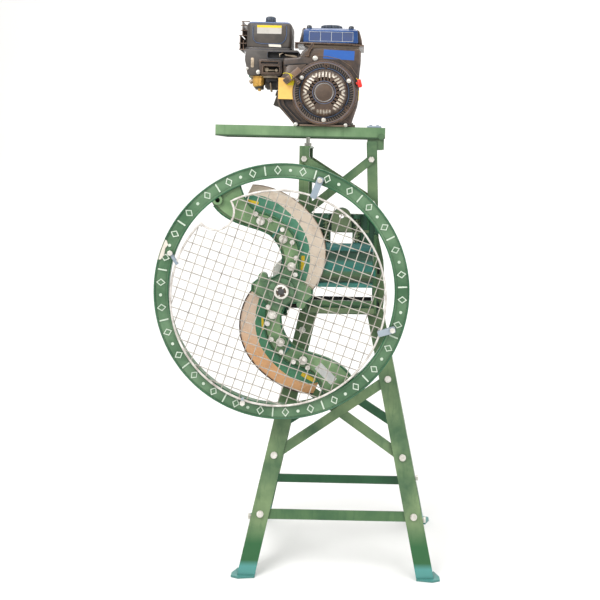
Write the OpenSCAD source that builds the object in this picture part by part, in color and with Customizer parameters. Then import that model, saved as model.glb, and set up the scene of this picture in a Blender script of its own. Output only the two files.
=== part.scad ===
// Chaff cutter: cast flywheel with two curved blades, worm-driven feed rollers,
// angle-iron stand and a petrol engine on a hinged top platform.
// Front (the wheel side) is -Y, up is +Z, the floor is z = 0, the stand's centre is x = 0, y = 0.

/* [Cutting wheel] */
// Outer diameter of the wheel rim
wheel_d = 734; // [720:1:744]
// Radial width of the rim
rim_w = 40; // [34:1:46]
// Depth of the rim, front to back
rim_depth = 36; // [30:1:38]
// Width of the raised borders of the rim band
rim_border = 5; // [3:0.5:8]
// Depth of the recessed band between the borders
rim_recess = 2.5; // [1:0.5:4]
// Distance of the wheel's centre to the left of the stand's centre
hub_left = 171; // [165:1:176]
// Height of the wheel's axis above the floor
shaft_z = 828; // [824:1:832]
// Distance of the wheel's front face before the stand's centre
wheel_front = 250; // [246:1:256]
// Diameter of the main shaft
shaft_d = 25; // [20:0.5:27]
// Outer diameter of the hub
hub_d = 74; // [66:1:84]
// Hole for the hand crank in the rim's lug
crank_hole_d = 14; // [10:0.5:18]

/* [Blades] */
// Thickness of a blade
blade_t = 5; // [3:0.5:6]
// Thickness left at the ground edge
edge_t = 0.8; // [0.4:0.1:1.5]
// Diameter of the blade bolts
blade_bolt_d = 12; // [10:0.5:14]
// Diameter of the blade's set screws
set_screw_d = 8; // [6:0.5:9]

/* [Guard] */
// Distance from the rim's inner edge to the middle of the guard's rod
guard_inset = 19; // [17:1:22]
// Diameter of the guard's rod
guard_rod_d = 6; // [5:0.5:8]
// Side of the guard's square wires
wire_d = 2.6; // [2:0.2:3.2]
// Spacing of the guard's wires
wire_pitch = 33; // [32:1:40]
// Turn of the guard's wires in its plane
wire_angle = -18; // [-24:1:-12]

/* [Feed] */
// Width of the mouth
mouth_w = 186; // [180:1:190]
// Diameter of the feed rollers over their teeth
roller_d = 52; // [48:1:56]
// Gap between the feed rollers at rest
nip = 54; // [50:1:58]
// Number of teeth on each feed roller
roller_teeth = 12; // [8:1:14]
// Diameter of the roller shafts
roller_shaft_d = 22; // [18:0.5:24]
// Teeth on each worm wheel
worm_wheel_teeth = 16; // [14:1:18]
// Pitch radius of the worm
worm_r = 20; // [19.5:0.1:20.5]
// Lift of the upper jaw against its springs
jaw_lift = 12; // [6:1:14]
// Wire diameter of the pressure springs
spring_wire_d = 3; // [2:0.2:3.4]
// Turns in each pressure spring
spring_turns = 7; // [5:1:9]

/* [Stand] */
// Leg width of the stand's angle iron
angle_w = 50; // [46:1:56]
// Thickness of the stand's angle iron
angle_t = 5; // [4:0.5:6]
// Width across the legs at their top
leg_top_w = 252; // [248:1:256]
// Width across the legs at the floor
leg_foot_w = 570; // [550:1:590]
// Depth across the legs at their top
leg_top_depth = 200; // [196:1:206]
// Depth across the legs at the floor
leg_foot_depth = 470; // [450:1:490]
// Drop from the wheel's axis to the legs' tops
leg_drop = 76; // [72:1:80]
// Height of the front bar's middle
front_bar_z = 171; // [150:1:200]
// Height of the rear bar's middle
rear_bar_z = 141; // [130:1:190]
// Width of the bars and braces
flat_w = 28; // [24:1:30]
// Thickness of the bars and braces
flat_t = 5; // [4:0.5:6]
// Diameter of the stand's bolts
bolt_d = 10; // [8:0.5:12]

/* [Tower and platform] */
// Leg width of the posts' angle iron
post_w = 30; // [26:1:34]
// Height of the platform's top above the floor
platform_z = 1306; // [1300:1:1320]
// Platform's left end before the stand's centre
platform_left = 391; // [380:1:400]
// Platform's right end past the stand's centre
platform_right = 120; // [118:1:124]
// Depth of the platform, front to back
platform_depth = 230; // [220:1:240]
// Height of the platform's angle rails
rail_h = 33; // [28:1:38]
// Diameter of the belt tension screw
tension_d = 12; // [10:0.5:14]

/* [Engine] */
// Height of the crankshaft above the platform
crank_h = 100; // [98:1:104]
// Distance of the crankshaft to the left of the stand's centre
crank_left = 65; // [62:1:68]
// Radius of the fan housing
fan_r = 96; // [93:1:97]
// Radius of the recoil starter's cover
recoil_r = 73; // [68:1:76]
// Diameter of the engine's output shaft
output_d = 20; // [18:0.5:22]
// Spacing of the base bolts across the engine
base_x = 162; // [160:1:164]
// Spacing of the base bolts along the crankshaft
base_y = 75.5; // [72:0.5:78]
// Outer diameter of the engine's pulley
engine_pulley_d = 70; // [64:1:90]
// Outer diameter of the pulley on the main shaft
driven_pulley_d = 120; // [100:1:124]

/* [Hidden] */
$fn = 64;

// Colours
deep_green = "#2f5a38";
soft_green = "#5f8f63";
teal_green = "#1f6b62";
tan_steel = "#c3ac92";
bare_steel = "#b9bdc0";
dark_steel = "#4c5054";
black_enamel = "#1d1e20";
tank_blue = "#1f4fa0";
brass_tone = "#b08d4a";
red_plastic = "#b3261e";

// Clearances
fit_gap = 0.05;
slip = 0.3;
run_gap = 0.06;

// Wheel
hub_x = -hub_left;
rim_r = wheel_d / 2;
rim_in = rim_r - rim_w;
wheel_y = -wheel_front;
arm_front = wheel_y + 10;
arm_back = wheel_y + rim_depth + 2;
blade_back = arm_back + blade_t;
hub_front = wheel_y - 1;
hub_back = blade_back + 2;
grow = wheel_d / 734;
lug_at = grow * [-189, 257];
lug_r = 14;

// Mouth and head, behind the blades
mouth_front = blade_back + 2;
mouth_t = 12;
mouth_back = mouth_front + mouth_t;
mouth_cx = -2;
mouth_x0 = mouth_cx - mouth_w / 2;
mouth_x1 = mouth_cx + mouth_w / 2;
cheek_t = 10;
cheek_out0 = mouth_x0 - 2 - cheek_t;
cheek_out1 = mouth_x1 + 2 + cheek_t;
beam_low_z = shaft_z - 70;
lip_z = shaft_z - 31;
jaw_low_z = shaft_z + 8;
jaw_top_z = shaft_z + 136;
bridge_low_z = shaft_z + 167;
bridge_top_z = shaft_z + 220;
head_back = 120;

// Rollers and worm drive, level with the main shaft
roller_r = roller_d / 2;
flute = 5;
roller_y = mouth_back + 47;
roller_off = roller_r + nip / 2;
wheel_pitch_r = roller_off - worm_r;
worm_pitch = 2 * PI * wheel_pitch_r / worm_wheel_teeth;
tooth_h = 3;
tooth_gap = 2.2;
worm_half = 33;

// Blade curves, seen from the front about the wheel's axis
function bez(a, b, c, d, n) = [for (i = [0 : n]) let (t = i / n, u = 1 - t)
  u * u * u * a + 3 * u * u * t * b + 3 * u * t * t * c + t * t * t * d];
function tail(v) = [for (i = [1 : len(v) - 1]) v[i]];
function back_to_front(v) = [for (i = [len(v) - 1 : -1 : 0]) v[i]];
edge_line = grow * concat(
  bez([-94, 302], [-14, 304], [84, 240], [112, 163], 12),
  tail(bez([112, 163], [134, 112], [125, 28], [68, -20], 12)));
bevel_line = grow * concat(
  bez([-112, 266], [-64, 290], [6, 240], [44, 191], 12),
  tail(bez([44, 191], [86, 138], [88, 68], [55, -3], 12)));
heel_line = grow * concat(
  bez([-113, 226], [-78, 184], [-30, 168], [-8, 136], 12),
  tail(bez([-8, 136], [8, 102], [14, 46], [42, 4], 12)));
blade_bolts_at = grow * [[-65, 199], [1, 148], [26, 70]];
set_screws_at = grow * [[-79, 219], [-38, 203], [-2, 176], [27, 140], [39, 95], [38, 47]];

// S-shaped arms: one half outline, repeated half a turn round
arm_half = grow * concat(
  [[-87, -4], [-88, 18], [-72, 31], [-27, 38], [-10, 47]],
  [[0, 58]],
  bez([1, 78], [1, 108], [-13, 140], [-40, 162], 8),
  tail(bez([-40, 162], [-84, 187], [-160, 184], [-203, 242], 10)),
  [[-216, 266], [-136, 316]],
  bez([-128, 303], [-118, 266], [-98, 231], [-64, 224], 8),
  tail(bez([-64, 224], [-8, 213], [44, 167], [50, 106], 10)),
  [[49, 60], [46, 34]]);

// Guard: a ring with a bay for the crank handle's lug
guard_c = grow * [-9, -19];
guard_r = rim_in - guard_inset;
bay_c = grow * [-193, 225];
bay_r = 53;
guard_y = wheel_y - guard_rod_d / 2 - 3;
bay_gap = norm(bay_c - guard_c);
bay_dir = atan2(bay_c[1] - guard_c[1], bay_c[0] - guard_c[0]);
ring_half = acos((bay_gap * bay_gap + guard_r * guard_r - bay_r * bay_r) / (2 * bay_gap * guard_r));
bay_half = acos((bay_gap * bay_gap + bay_r * bay_r - guard_r * guard_r) / (2 * bay_gap * bay_r));
clip_angles = [72, 162, 252, 342];
clip_r = rim_in + 9;

// Stand planes: the front legs lie in one sloping plane, the rear legs in its mirror image
leg_top_z = shaft_z - leg_drop;
slope_x = (leg_foot_w - leg_top_w) / 2 / leg_top_z;
slope_y = (leg_foot_depth - leg_top_depth) / 2 / leg_top_z;
lean = atan(slope_y);
spread = atan(slope_x * cos(lean));
leg_len = leg_top_z / cos(lean) / cos(spread);
plane_y = leg_top_depth / 2;
function leg_x(z) = leg_top_w / 2 + slope_x * (leg_top_z - z);
function plane_z(z) = (z - leg_top_z) / cos(lean);
brace_low_z = 334;
brace_high_z = 555;
foot_t = 6;
top_bolt_z = leg_top_z - 60;
nut_r = bolt_d * 0.93;
lug_t = 8;
top_bolt_x = leg_x(top_bolt_z) - angle_w / 2 + 4;
mid = angle_w / 2;
front_bolts = [[leg_x(front_bar_z) - mid, front_bar_z], [leg_x(brace_low_z) - mid, brace_low_z],
  [leg_x(brace_high_z) - mid, brace_high_z], [top_bolt_x, top_bolt_z]];
rear_bolts = [[leg_x(rear_bar_z) - mid, rear_bar_z], [leg_x(brace_low_z) - mid, brace_low_z],
  [leg_x(brace_high_z) - mid, brace_high_z], [top_bolt_x, top_bolt_z]];
side_bar_z = 156;

// Tower
post_t = 4;
post_front = -112;
post_back = 112;
left_post_x = -134;
right_post_x = 96;
left_post_top = platform_z - 65;
right_post_top = platform_z - rail_h - 8;
post_foot_z = shaft_z + 77;

// Platform and its hinge
rail_t = 5;
plate_t = 5;
hinge_x = 108;
hinge_z = platform_z - rail_h + 6;
hinge_r = 9;
hinge_pin_d = 12;
tension_x = -118;

// Engine
crank_x = -crank_left;
crank_z = platform_z + crank_h;
fan_front = -138;
fan_back = -66;
case_back = 84;
base_cx = crank_x - 2;
base_cy = 12;
output_end = 165;
pulley_y = 137;

// Rear bearing and driven pulley on the main shaft
bracket_y0 = mouth_front + 2;
bracket_y1 = bracket_y0 + 20;
rear_bearing_y0 = 94;
rear_bearing_y1 = 120;
shaft_end = 162;

// Pressure springs on the jaw's rods
spring_y = mouth_back + 3;
spring_r = 8;
rod_at = [mouth_cx - 48, mouth_cx + 43];
rod_r = 4;
ear_low_z = bridge_top_z - 12;

// The least gap between neighbouring turns of a spring
spring_gap = (ear_low_z - jaw_top_z - 2 - 2 * slip - spring_wire_d) / spring_turns - spring_wire_d;
echo(least_gap_between_spring_turns = spring_gap);

// Corners and bolts of the posts
left_corner = cheek_out0;
post_bolt_z = shaft_z + 102;
right_foot_top = shaft_z + 144;
right_corner = cheek_out1 + post_t;
right_side_top = right_post_top - 36;
function right_edge(z) = right_corner
  - (right_corner - right_post_x) * (z - right_foot_top) / (right_post_top - right_foot_top);
tower_h = platform_z - bridge_top_z;
strap_ends_left = [[left_corner - post_w / 2, bridge_top_z + 0.62 * tower_h],
  [left_corner - post_w / 2, bridge_top_z - 6]];
strap_ends_right = [[right_post_x - 16, bridge_top_z + 0.628 * tower_h],
  [right_corner - post_w / 2 - 6, bridge_top_z + 0.116 * tower_h]];
strap_w = 24;
strap_t = 4;
bracket_t = 6;
starter_at = [crank_x - 94, crank_z + 49.5];
grip_r = 8.25;
throttle_at = [crank_x - 54, crank_z + 116];
switch_at = [crank_x + 98, crank_z + 30.5];
tank_z = crank_z + 150;
drawn_at = [-65, 1406];

// The shroud's outline from the front, about the crankshaft
shroud_line = [[-125, 80], [-126, 104], [-79, 107], [-69, 125], [-53, 135], [105, 137], [107, 115], [103, 53],
  [104, 0], [99, -36], [85, -80], [81, 2 - crank_h], [-87, 2 - crank_h], [-94, 5 - crank_h],
  [-135, -47], [-143, -21], [-139, 34],
  [-125, 57]];

// A cylinder along Y from y0 to y1
module rod_y(x, z, y0, y1, r) {
  translate([x, y0, z]) rotate([-90, 0, 0]) cylinder(h = y1 - y0, r = r);
}

// A cylinder along X from x0 to x1
module rod_x(y, z, x0, x1, r) {
  translate([x0, y, z]) rotate([0, 90, 0]) cylinder(h = x1 - x0, r = r);
}

// A cylinder along Z from z0 to z1
module rod_z(x, y, z0, z1, r) {
  translate([x, y, z0]) cylinder(h = z1 - z0, r = r);
}

// A box from one corner to the other
module block(a, b) {
  translate(a) cube(b - a);
}

// A flat shape drawn in X and Z, from y0 to y1
module wall_y(y0, y1) {
  translate([0, y1, 0]) rotate([90, 0, 0]) linear_extrude(y1 - y0) children();
}

// A flat shape drawn in Y and Z, from x0 to x1
module wall_x(x0, x1) {
  translate([x0, 0, 0]) rotate([90, 0, 90]) linear_extrude(x1 - x0) children();
}

// A rounded rectangle between two corners
module round_rect(a, b, r) {
  translate([a[0] + r, a[1]]) square([b[0] - a[0] - 2 * r, b[1] - a[1]]);
  translate([a[0], a[1] + r]) square([b[0] - a[0], b[1] - a[1] - 2 * r]);
  for (x = [a[0] + r, b[0] - r], y = [a[1] + r, b[1] - r])
    translate([x, y]) circle(r);
}

// A hexagon head or nut on the Y axis, with its flat face towards the part at y0
module hex_y(x, z, y0, y1, across) {
  translate([x, y0, z]) rotate([-90, 0, 0]) cylinder(h = y1 - y0, r = across / sqrt(3), $fn = 6);
}

// Everything drawn about the wheel's axis, half a turn round
module half_turn() {
  translate([hub_x, 0, shaft_z]) rotate([0, 180, 0]) translate([-hub_x, 0, -shaft_z]) children();
}

// Moves a shape drawn in X and Z about the wheel's axis to its place
module at_hub() {
  translate([hub_x, 0, shaft_z]) children();
}

module arm_shape() {
  polygon(concat(arm_half, [for (p = arm_half) -p]));
}

module flywheel() {
  color(deep_green) difference() {
    at_hub() union() {
      translate([0, wheel_y, 0]) rotate([-90, 0, 0]) rotate_extrude($fn = 128) polygon([
        [rim_in, 0], [rim_in + rim_border, 0], [rim_in + rim_border, rim_recess],
        [rim_r - rim_border, rim_recess], [rim_r - rim_border, 0], [rim_r, 0],
        [rim_r, rim_depth], [rim_in, rim_depth]]);
      intersection() {
        wall_y(arm_front + 7, arm_back) arm_shape();
        rod_y(0, 0, arm_front, arm_back + 1, rim_in + 4);
      }
      intersection() {
        wall_y(arm_front, arm_front + 8) arm_shape();
        translate([7, 0, 5]) wall_y(arm_front - 1, arm_front + 9) arm_shape();
        rod_y(0, 0, arm_front - 1, arm_back, rim_in + 4);
      }
      rod_y(0, 0, hub_front, hub_back, hub_d / 2);
      for (a = [0, 180], p = blade_bolts_at) rotate([0, a, 0])
        rod_y(p[0], p[1], arm_front - 2, arm_back - 2, 14);
      for (a = [0, 180]) rotate([0, a, 0]) rod_y(56 * grow, -38 * grow, arm_front - 2, arm_back - 2, 13);
      rod_y(lug_at[0], lug_at[1], wheel_y, wheel_y + rim_depth, lug_r);
    }
    rod_y(hub_x, shaft_z, hub_front - 1, hub_back + 1, shaft_d / 2 + fit_gap);
    rod_y(hub_x + lug_at[0], shaft_z + lug_at[1], wheel_y - 1, wheel_y + rim_depth + 1, crank_hole_d / 2);
    at_hub() for (a = [0, 180]) rotate([0, a, 0]) {
      for (p = blade_bolts_at) rod_y(p[0], p[1], arm_front - 3, arm_back + 1, blade_bolt_d / 2 + fit_gap);
      for (p = set_screws_at) rod_y(p[0], p[1], arm_front - 3, arm_back + 1, set_screw_d / 2 + fit_gap);
    }
    at_hub() for (a = clip_angles)
      rod_y(clip_r * cos(a), clip_r * sin(a), wheel_y - 1, wheel_y + rim_depth + 1, 4 + fit_gap);
  }
}

// One blade: a flat curved body with a ground bevel along its outer edge
module blade() {
  n = len(edge_line);
  body = concat(bevel_line, back_to_front(heel_line));
  at_hub() {
    difference() {
      wall_y(arm_back, blade_back) polygon(body);
      rod_y(0, 0, arm_back - 1, blade_back + 1, hub_d / 2 + slip);
      for (p = blade_bolts_at) rod_y(p[0], p[1], arm_back - 1, blade_back + 1, blade_bolt_d / 2 + fit_gap);
    }
    points = [for (i = [0 : n - 1]) each [
      [bevel_line[i][0], arm_back, bevel_line[i][1]],
      [edge_line[i][0], blade_back - edge_t, edge_line[i][1]],
      [edge_line[i][0], blade_back, edge_line[i][1]],
      [bevel_line[i][0], blade_back, bevel_line[i][1]]]];
    faces = concat(
      [[3, 2, 1, 0]],
      [for (i = [0 : n - 2], j = [0 : 3]) let (a = 4 * i + j, b = 4 * i + (j + 1) % 4)
        [a, b, b + 4, a + 4]],
      [[4 * n - 4, 4 * n - 3, 4 * n - 2, 4 * n - 1]]);
    polyhedron(points, faces);
  }
}

module upper_blade() {
  color(tan_steel) blade();
}

module lower_blade() {
  color(tan_steel) half_turn() blade();
}

module blade_bolts() {
  color(bare_steel) at_hub() for (a = [0, 180], p = blade_bolts_at) rotate([0, a, 0]) {
    rod_y(p[0], p[1], arm_front - 5, arm_front - 2, 11);
    hex_y(p[0], p[1], arm_front - 12, arm_front - 5, 17);
    rod_y(p[0], p[1], arm_front - 5, blade_back, blade_bolt_d / 2);
  }
}

module set_screws() {
  color(bare_steel) at_hub() for (a = [0, 180], p = set_screws_at) rotate([0, a, 0]) {
    rod_y(p[0], p[1], arm_front - 4, arm_back, set_screw_d / 2);
    rod_y(p[0], p[1], arm_front - 7, arm_front - 2.2, 6.5);
  }
}

module hub_nut() {
  color(bare_steel) difference() {
    union() {
      rod_y(hub_x, shaft_z, hub_front - 4, hub_front, 21);
      hex_y(hub_x, shaft_z, hub_front - 13, hub_front - 4, 34);
    }
    rod_y(hub_x, shaft_z, hub_front - 14, hub_front + 1, shaft_d / 2 - 3 + fit_gap);
  }
}

// The ring and its bay as one bent rod, swept along two arcs
module guard_ring() {
  big = [for (i = [0 : 80]) let (t = bay_dir + ring_half + i / 80 * (360 - 2 * ring_half))
    guard_c + guard_r * [cos(t), sin(t)]];
  small = [for (i = [1 : 13]) let (t = bay_dir + 180 + bay_half - i / 14 * 2 * bay_half)
    bay_c + bay_r * [cos(t), sin(t)]];
  path = concat(big, small);
  n = len(path);
  w = guard_rod_d / 2;
  color(bare_steel) at_hub() polyhedron(
    [for (i = [0 : n - 1], k = [0 : 7]) let (d = path[(i + 1) % n] - path[(i + n - 1) % n],
      side = [d[1], -d[0]] / norm(d), r = w * cos(45 * k))
      [path[i][0] + r * side[0], guard_y + w * sin(45 * k), path[i][1] + r * side[1]]],
    [for (i = [0 : n - 1], k = [0 : 7]) let (a = 8 * i + k, b = 8 * i + (k + 1) % 8,
      c = 8 * ((i + 1) % n) + (k + 1) % 8, e = 8 * ((i + 1) % n) + k)
      each [[a, e, c], [a, c, b]]]);
}

// The net's area inside the ring
module guard_area() {
  difference() {
    translate(guard_c) circle(guard_r - guard_rod_d / 2 - slip);
    translate(bay_c) circle(bay_r + guard_rod_d / 2 + slip);
    circle(24);
  }
}

module guard_mesh() {
  rows = floor((guard_r - 8) / wire_pitch);
  color(bare_steel) at_hub() {
    for (k = [-rows : rows]) {
      wall_y(guard_y - wire_d - slip / 2, guard_y - slip / 2) intersection() {
        guard_area();
        translate(guard_c) rotate(wire_angle)
          translate([-guard_r, (k + 0.5) * wire_pitch - wire_d / 2]) square([2 * guard_r, wire_d]);
      }
      wall_y(guard_y + slip / 2, guard_y + wire_d + slip / 2) intersection() {
        guard_area();
        translate(guard_c) rotate(wire_angle)
          translate([(k + 0.5) * wire_pitch - wire_d / 2, -guard_r]) square([wire_d, 2 * guard_r]);
      }
    }
  }
}

// Four clips: a bolt in the rim, and a tab that holds the ring against it
module guard_clips() {
  tab_back = guard_y + guard_rod_d / 2;
  color(bare_steel) at_hub() for (a = clip_angles) {
    bolt_at = clip_r * [cos(a), sin(a)];
    ring_at = guard_c + guard_r * [cos(a), sin(a)];
    reach = norm(bolt_at - ring_at);
    turn = atan2(ring_at[1] - bolt_at[1], ring_at[0] - bolt_at[0]);
    translate([bolt_at[0], 0, bolt_at[1]]) rotate([0, -turn, 0]) difference() {
      union() {
        block([-9, tab_back + slip, -8], [reach + 9, tab_back + 3, 8]);
        block([-9, guard_y - guard_rod_d / 2 - 3, -8], [reach + 9, guard_y - guard_rod_d / 2 - slip, 8]);
        rod_y(0, 0, guard_y - guard_rod_d / 2 - 8, wheel_y + rim_depth + 6, 4);
        hex_y(0, 0, guard_y - guard_rod_d / 2 - 9, guard_y - guard_rod_d / 2 - 3, 13);
        hex_y(0, 0, wheel_y + rim_depth, wheel_y + rim_depth + 6, 13);
      }
    }
  }
}

module main_shaft() {
  color(bare_steel) {
    rod_y(hub_x, shaft_z, hub_front, shaft_end, shaft_d / 2);
    rod_y(hub_x, shaft_z, hub_front - 18, hub_front, shaft_d / 2 - 3);
  }
}

// The worm: a sleeve with one helical thread, as a swept strip
module worm() {
  turns = 2 * worm_half / worm_pitch - 0.8;
  steps = 20;
  count = round(turns * steps);
  top = worm_r + tooth_h;
  root = worm_r - tooth_h - 1.2;
  foot_half = worm_pitch / 4 - 0.9;
  tip_half = worm_pitch / 4 - 1.9;
  function thread_y(i) = worm_pitch / 4 - worm_pitch * (i / steps - round(turns / 2));
  color(bare_steel) translate([hub_x, roller_y, shaft_z]) {
    difference() {
      rod_y(0, 0, -worm_half, worm_half, root + 0.5);
      rod_y(0, 0, -worm_half - 1, worm_half + 1, shaft_d / 2 + fit_gap);
    }
    polyhedron(
      [for (i = [0 : count]) let (a = 360 * i / steps, y = thread_y(i)) each [
        [root * cos(a), y - foot_half, root * sin(a)], [top * cos(a), y - tip_half, top * sin(a)],
        [top * cos(a), y + tip_half, top * sin(a)], [root * cos(a), y + foot_half, root * sin(a)]]],
      concat([[0, 1, 2, 3]],
        [for (i = [0 : count - 1], j = [0 : 3]) let (a = 4 * i + j, b = 4 * i + (j + 1) % 4)
          [a, a + 4, b + 4, b]],
        [[4 * count + 3, 4 * count + 2, 4 * count + 1, 4 * count]]));
  }
}

// A V-belt pulley on the Y axis with its groove at the middle
module pulley(r, half, bore) {
  rotate([-90, 0, 0]) rotate_extrude($fn = 96) polygon([
    [bore, -half], [r, -half], [r, -half + 4], [r - 12, -3],
    [r - 12, 3], [r, half - 4], [r, half], [bore, half]]);
}

module driven_pulley() {
  color(dark_steel) translate([hub_x, pulley_y, shaft_z]) difference() {
    pulley(driven_pulley_d / 2, 13, shaft_d / 2 + fit_gap);
    for (a = [0 : 60 : 300]) rotate([0, a, 0])
      rod_y(driven_pulley_d / 2 - 29, 0, -14, 14, 8);
  }
}

// How far the back of a leg's flange lies from the centre, at a height
function behind(z) = plane_y + slope_y * (leg_top_z - z) - angle_t / cos(lean) - slip;

// A cheek of the head casting, in Y and Z
module cheek_shape() {
  foot_z = leg_top_z - 76;
  arch_z = leg_top_z - 14;
  difference() {
    polygon([
      [-behind(foot_z), foot_z], [-behind(leg_top_z), leg_top_z + slip], [mouth_back, leg_top_z + 8],
      [mouth_back, bridge_top_z], [-140, bridge_top_z], [-122, shaft_z + 134],
      [80, shaft_z + 102], [head_back, shaft_z + 32], [head_back, shaft_z - 58],
      [behind(leg_top_z), leg_top_z + slip], [behind(foot_z), foot_z],
      [58, foot_z], [44, arch_z], [-44, arch_z], [-58, foot_z]]);
    round_rect([-76, shaft_z - 48], [84, shaft_z + 64], 24);
  }
}

// The inner side of a leg's side flange, in the stand's plane, at a height below its top
function leg_in(h) = leg_top_w / 2 - h * tan(spread) - angle_t / cos(spread) - 1;

module head_casting() {
  slot_r = roller_shaft_d / 2 + 1;
  upper_z = shaft_z + roller_off;
  lower_z = shaft_z - roller_off;
  lug_in = cheek_out1 - cheek_t + 1;
  color(deep_green) difference() {
    union() {
      wall_x(cheek_out0, cheek_out0 + cheek_t) cheek_shape();
      wall_x(cheek_out1 - cheek_t, cheek_out1) cheek_shape();
      block([cheek_out0, 62, leg_top_z - 34], [cheek_out1, 80, leg_top_z + 4]);
      for (side = [0, 1], back = [0, 1]) mirror([side, 0, 0]) mirror([0, back, 0])
        stand_plane() wall_y(angle_t + slip, angle_t + lug_t)
          polygon([[lug_in, -2], [leg_in(-2), -2], [leg_in(-82), -82], [lug_in, -82]]);
      rod_x(roller_y, lower_z, cheek_out0 - 4, cheek_out0 + 1, 22);
      rod_x(roller_y, lower_z, cheek_out1 - 1, cheek_out1 + 4, 22);
    }
    rod_x(roller_y, lower_z, cheek_out0 - 5, cheek_out1 + 5, roller_shaft_d / 2 + run_gap);
    for (x = [cheek_out0, cheek_out1 - cheek_t]) {
      rod_x(roller_y, upper_z, x - 1, x + cheek_t + 1, slot_r);
      rod_x(roller_y, upper_z + jaw_lift + 1, x - 1, x + cheek_t + 1, slot_r);
      block([x - 1, roller_y - slot_r, upper_z],
        [x + cheek_t + 1, roller_y + slot_r, upper_z + jaw_lift + 1]);
    }
    for (side = [0, 1], back = [0, 1]) mirror([side, 0, 0]) mirror([0, back, 0]) stand_plane() {
      rod_y(top_bolt_x, plane_z(top_bolt_z), 0, 30, bolt_d / 2 + fit_gap);
      rod_y(top_bolt_x, plane_z(top_bolt_z), angle_t + lug_t, angle_t + lug_t + 12, nut_r + slip);
    }
  }
}

module mouth_plate() {
  raised = 3;
  color(deep_green) difference() {
    union() {
      wall_y(mouth_front + raised, mouth_back) difference() {
        round_rect([cheek_out0, beam_low_z], [cheek_out1, bridge_low_z - 4], 8);
        translate([mouth_x0, lip_z]) square([mouth_w, 220]);
      }
      wall_y(mouth_front, mouth_front + raised + 1) {
        translate([cheek_out0 + 4, beam_low_z + 4]) square([cheek_out1 - cheek_out0 - 8, 7]);
        translate([cheek_out1 - 8, beam_low_z + 4]) square([6, bridge_low_z - beam_low_z - 14]);
        translate([cheek_out0 + 2, beam_low_z + 4]) square([6, bridge_low_z - beam_low_z - 14]);
      }
    }
    block([mouth_x0 - 1, mouth_front - 1, lip_z - 12], [mouth_x1 + 1, mouth_front + raised + 3, lip_z + 1]);
  }
}

module ledger_blade() {
  color(tan_steel) difference() {
    block([mouth_x0 - 1 + fit_gap, mouth_front, lip_z - 12],
      [mouth_x1 + 1 - fit_gap, mouth_front + 6, lip_z]);
    for (x = [mouth_x0 + 20, mouth_x1 - 20])
      rod_y(x, lip_z - 6, mouth_front - 1, mouth_front + 2, 3.5);
  }
}

module top_bridge() {
  y0 = spring_y + 12;
  y1 = y0 + 34;
  color(deep_green) difference() {
    union() {
      wall_y(y0, y1) difference() {
        translate([cheek_out0 + cheek_t + slip, bridge_low_z])
          square([cheek_out1 - cheek_out0 - 2 * cheek_t - 2 * slip, bridge_top_z - bridge_low_z]);
        translate([mouth_cx - 80, bridge_low_z - 1]) square([160, 5]);
      }
      for (x = [[cheek_out0 + cheek_t + slip, mouth_cx - 34], [mouth_cx + 36, cheek_out1 - cheek_t - slip]])
        block([x[0], y0, bridge_low_z - 42], [x[1], y0 + 10, bridge_low_z + 6]);
      for (x = rod_at) {
        block([x - 11, spring_y - 1, ear_low_z], [x + 11, y0 + 1, bridge_top_z]);
        rod_z(x, spring_y, ear_low_z, bridge_top_z, 11);
      }
      rod_y(mouth_cx - 3, bridge_top_z - 10, y0 - 8, y1, 28);
      block([mouth_cx - 31, y0 - 8, bridge_low_z + 6], [mouth_cx + 25, y0 + 1, bridge_top_z - 10]);
    }
    for (x = rod_at) rod_z(x, spring_y, ear_low_z - 1, bridge_top_z + 1, rod_r + slip);
    rod_y(mouth_cx - 3, bridge_top_z - 6, y0 - 9, y1 + 1, 8);
  }
}

module upper_jaw() {
  front = mouth_front + 2;
  x0 = mouth_x0 + 2;
  x1 = mouth_x1 - 2;
  arm_top = shaft_z + roller_off + 20;
  color(teal_green) difference() {
    union() {
      wall_x(x0, x1) polygon(concat(
        [[mouth_back, jaw_low_z], [front, jaw_low_z], [front, shaft_z + 20], [front + 4, shaft_z + 22],
          [front + 4, shaft_z + 25], [front, shaft_z + 26], [front, shaft_z + 31], [front + 4, shaft_z + 34]],
        [for (i = [0 : 8]) let (t = i / 8) [front + 5 - 4.5 * sin(180 * t), shaft_z + 38 + 52 * t]],
        [[front + 6, shaft_z + 94], [front + 6, shaft_z + 110], [front, shaft_z + 113],
          [front, shaft_z + 124], [front + 5, jaw_top_z],
          [mouth_back, jaw_top_z]]));
      for (x = [x0, x1 - 9]) {
        block([x, mouth_back - 1, arm_top - 34], [x + 9, roller_y + 20, arm_top]);
        rod_x(roller_y, shaft_z + roller_off, x, x + 9, 20);
      }
      block([x0, mouth_back - 1, arm_top + 10], [x1, mouth_back + 12, arm_top + 18]);
      for (x = rod_at) rod_z(x, spring_y, jaw_top_z - 12, jaw_top_z + 2, 10);
    }
    rod_x(roller_y, shaft_z + roller_off, x0 - 1, x1 + 1, roller_shaft_d / 2 + run_gap);
    for (x = rod_at) rod_z(x, spring_y, jaw_top_z - 13, jaw_top_z + 3, rod_r + fit_gap);
  }
}

module jaw_rods() {
  color(bare_steel) for (x = rod_at) {
    rod_z(x, spring_y, jaw_top_z - 12, bridge_top_z + 2, rod_r);
  }
}

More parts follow.
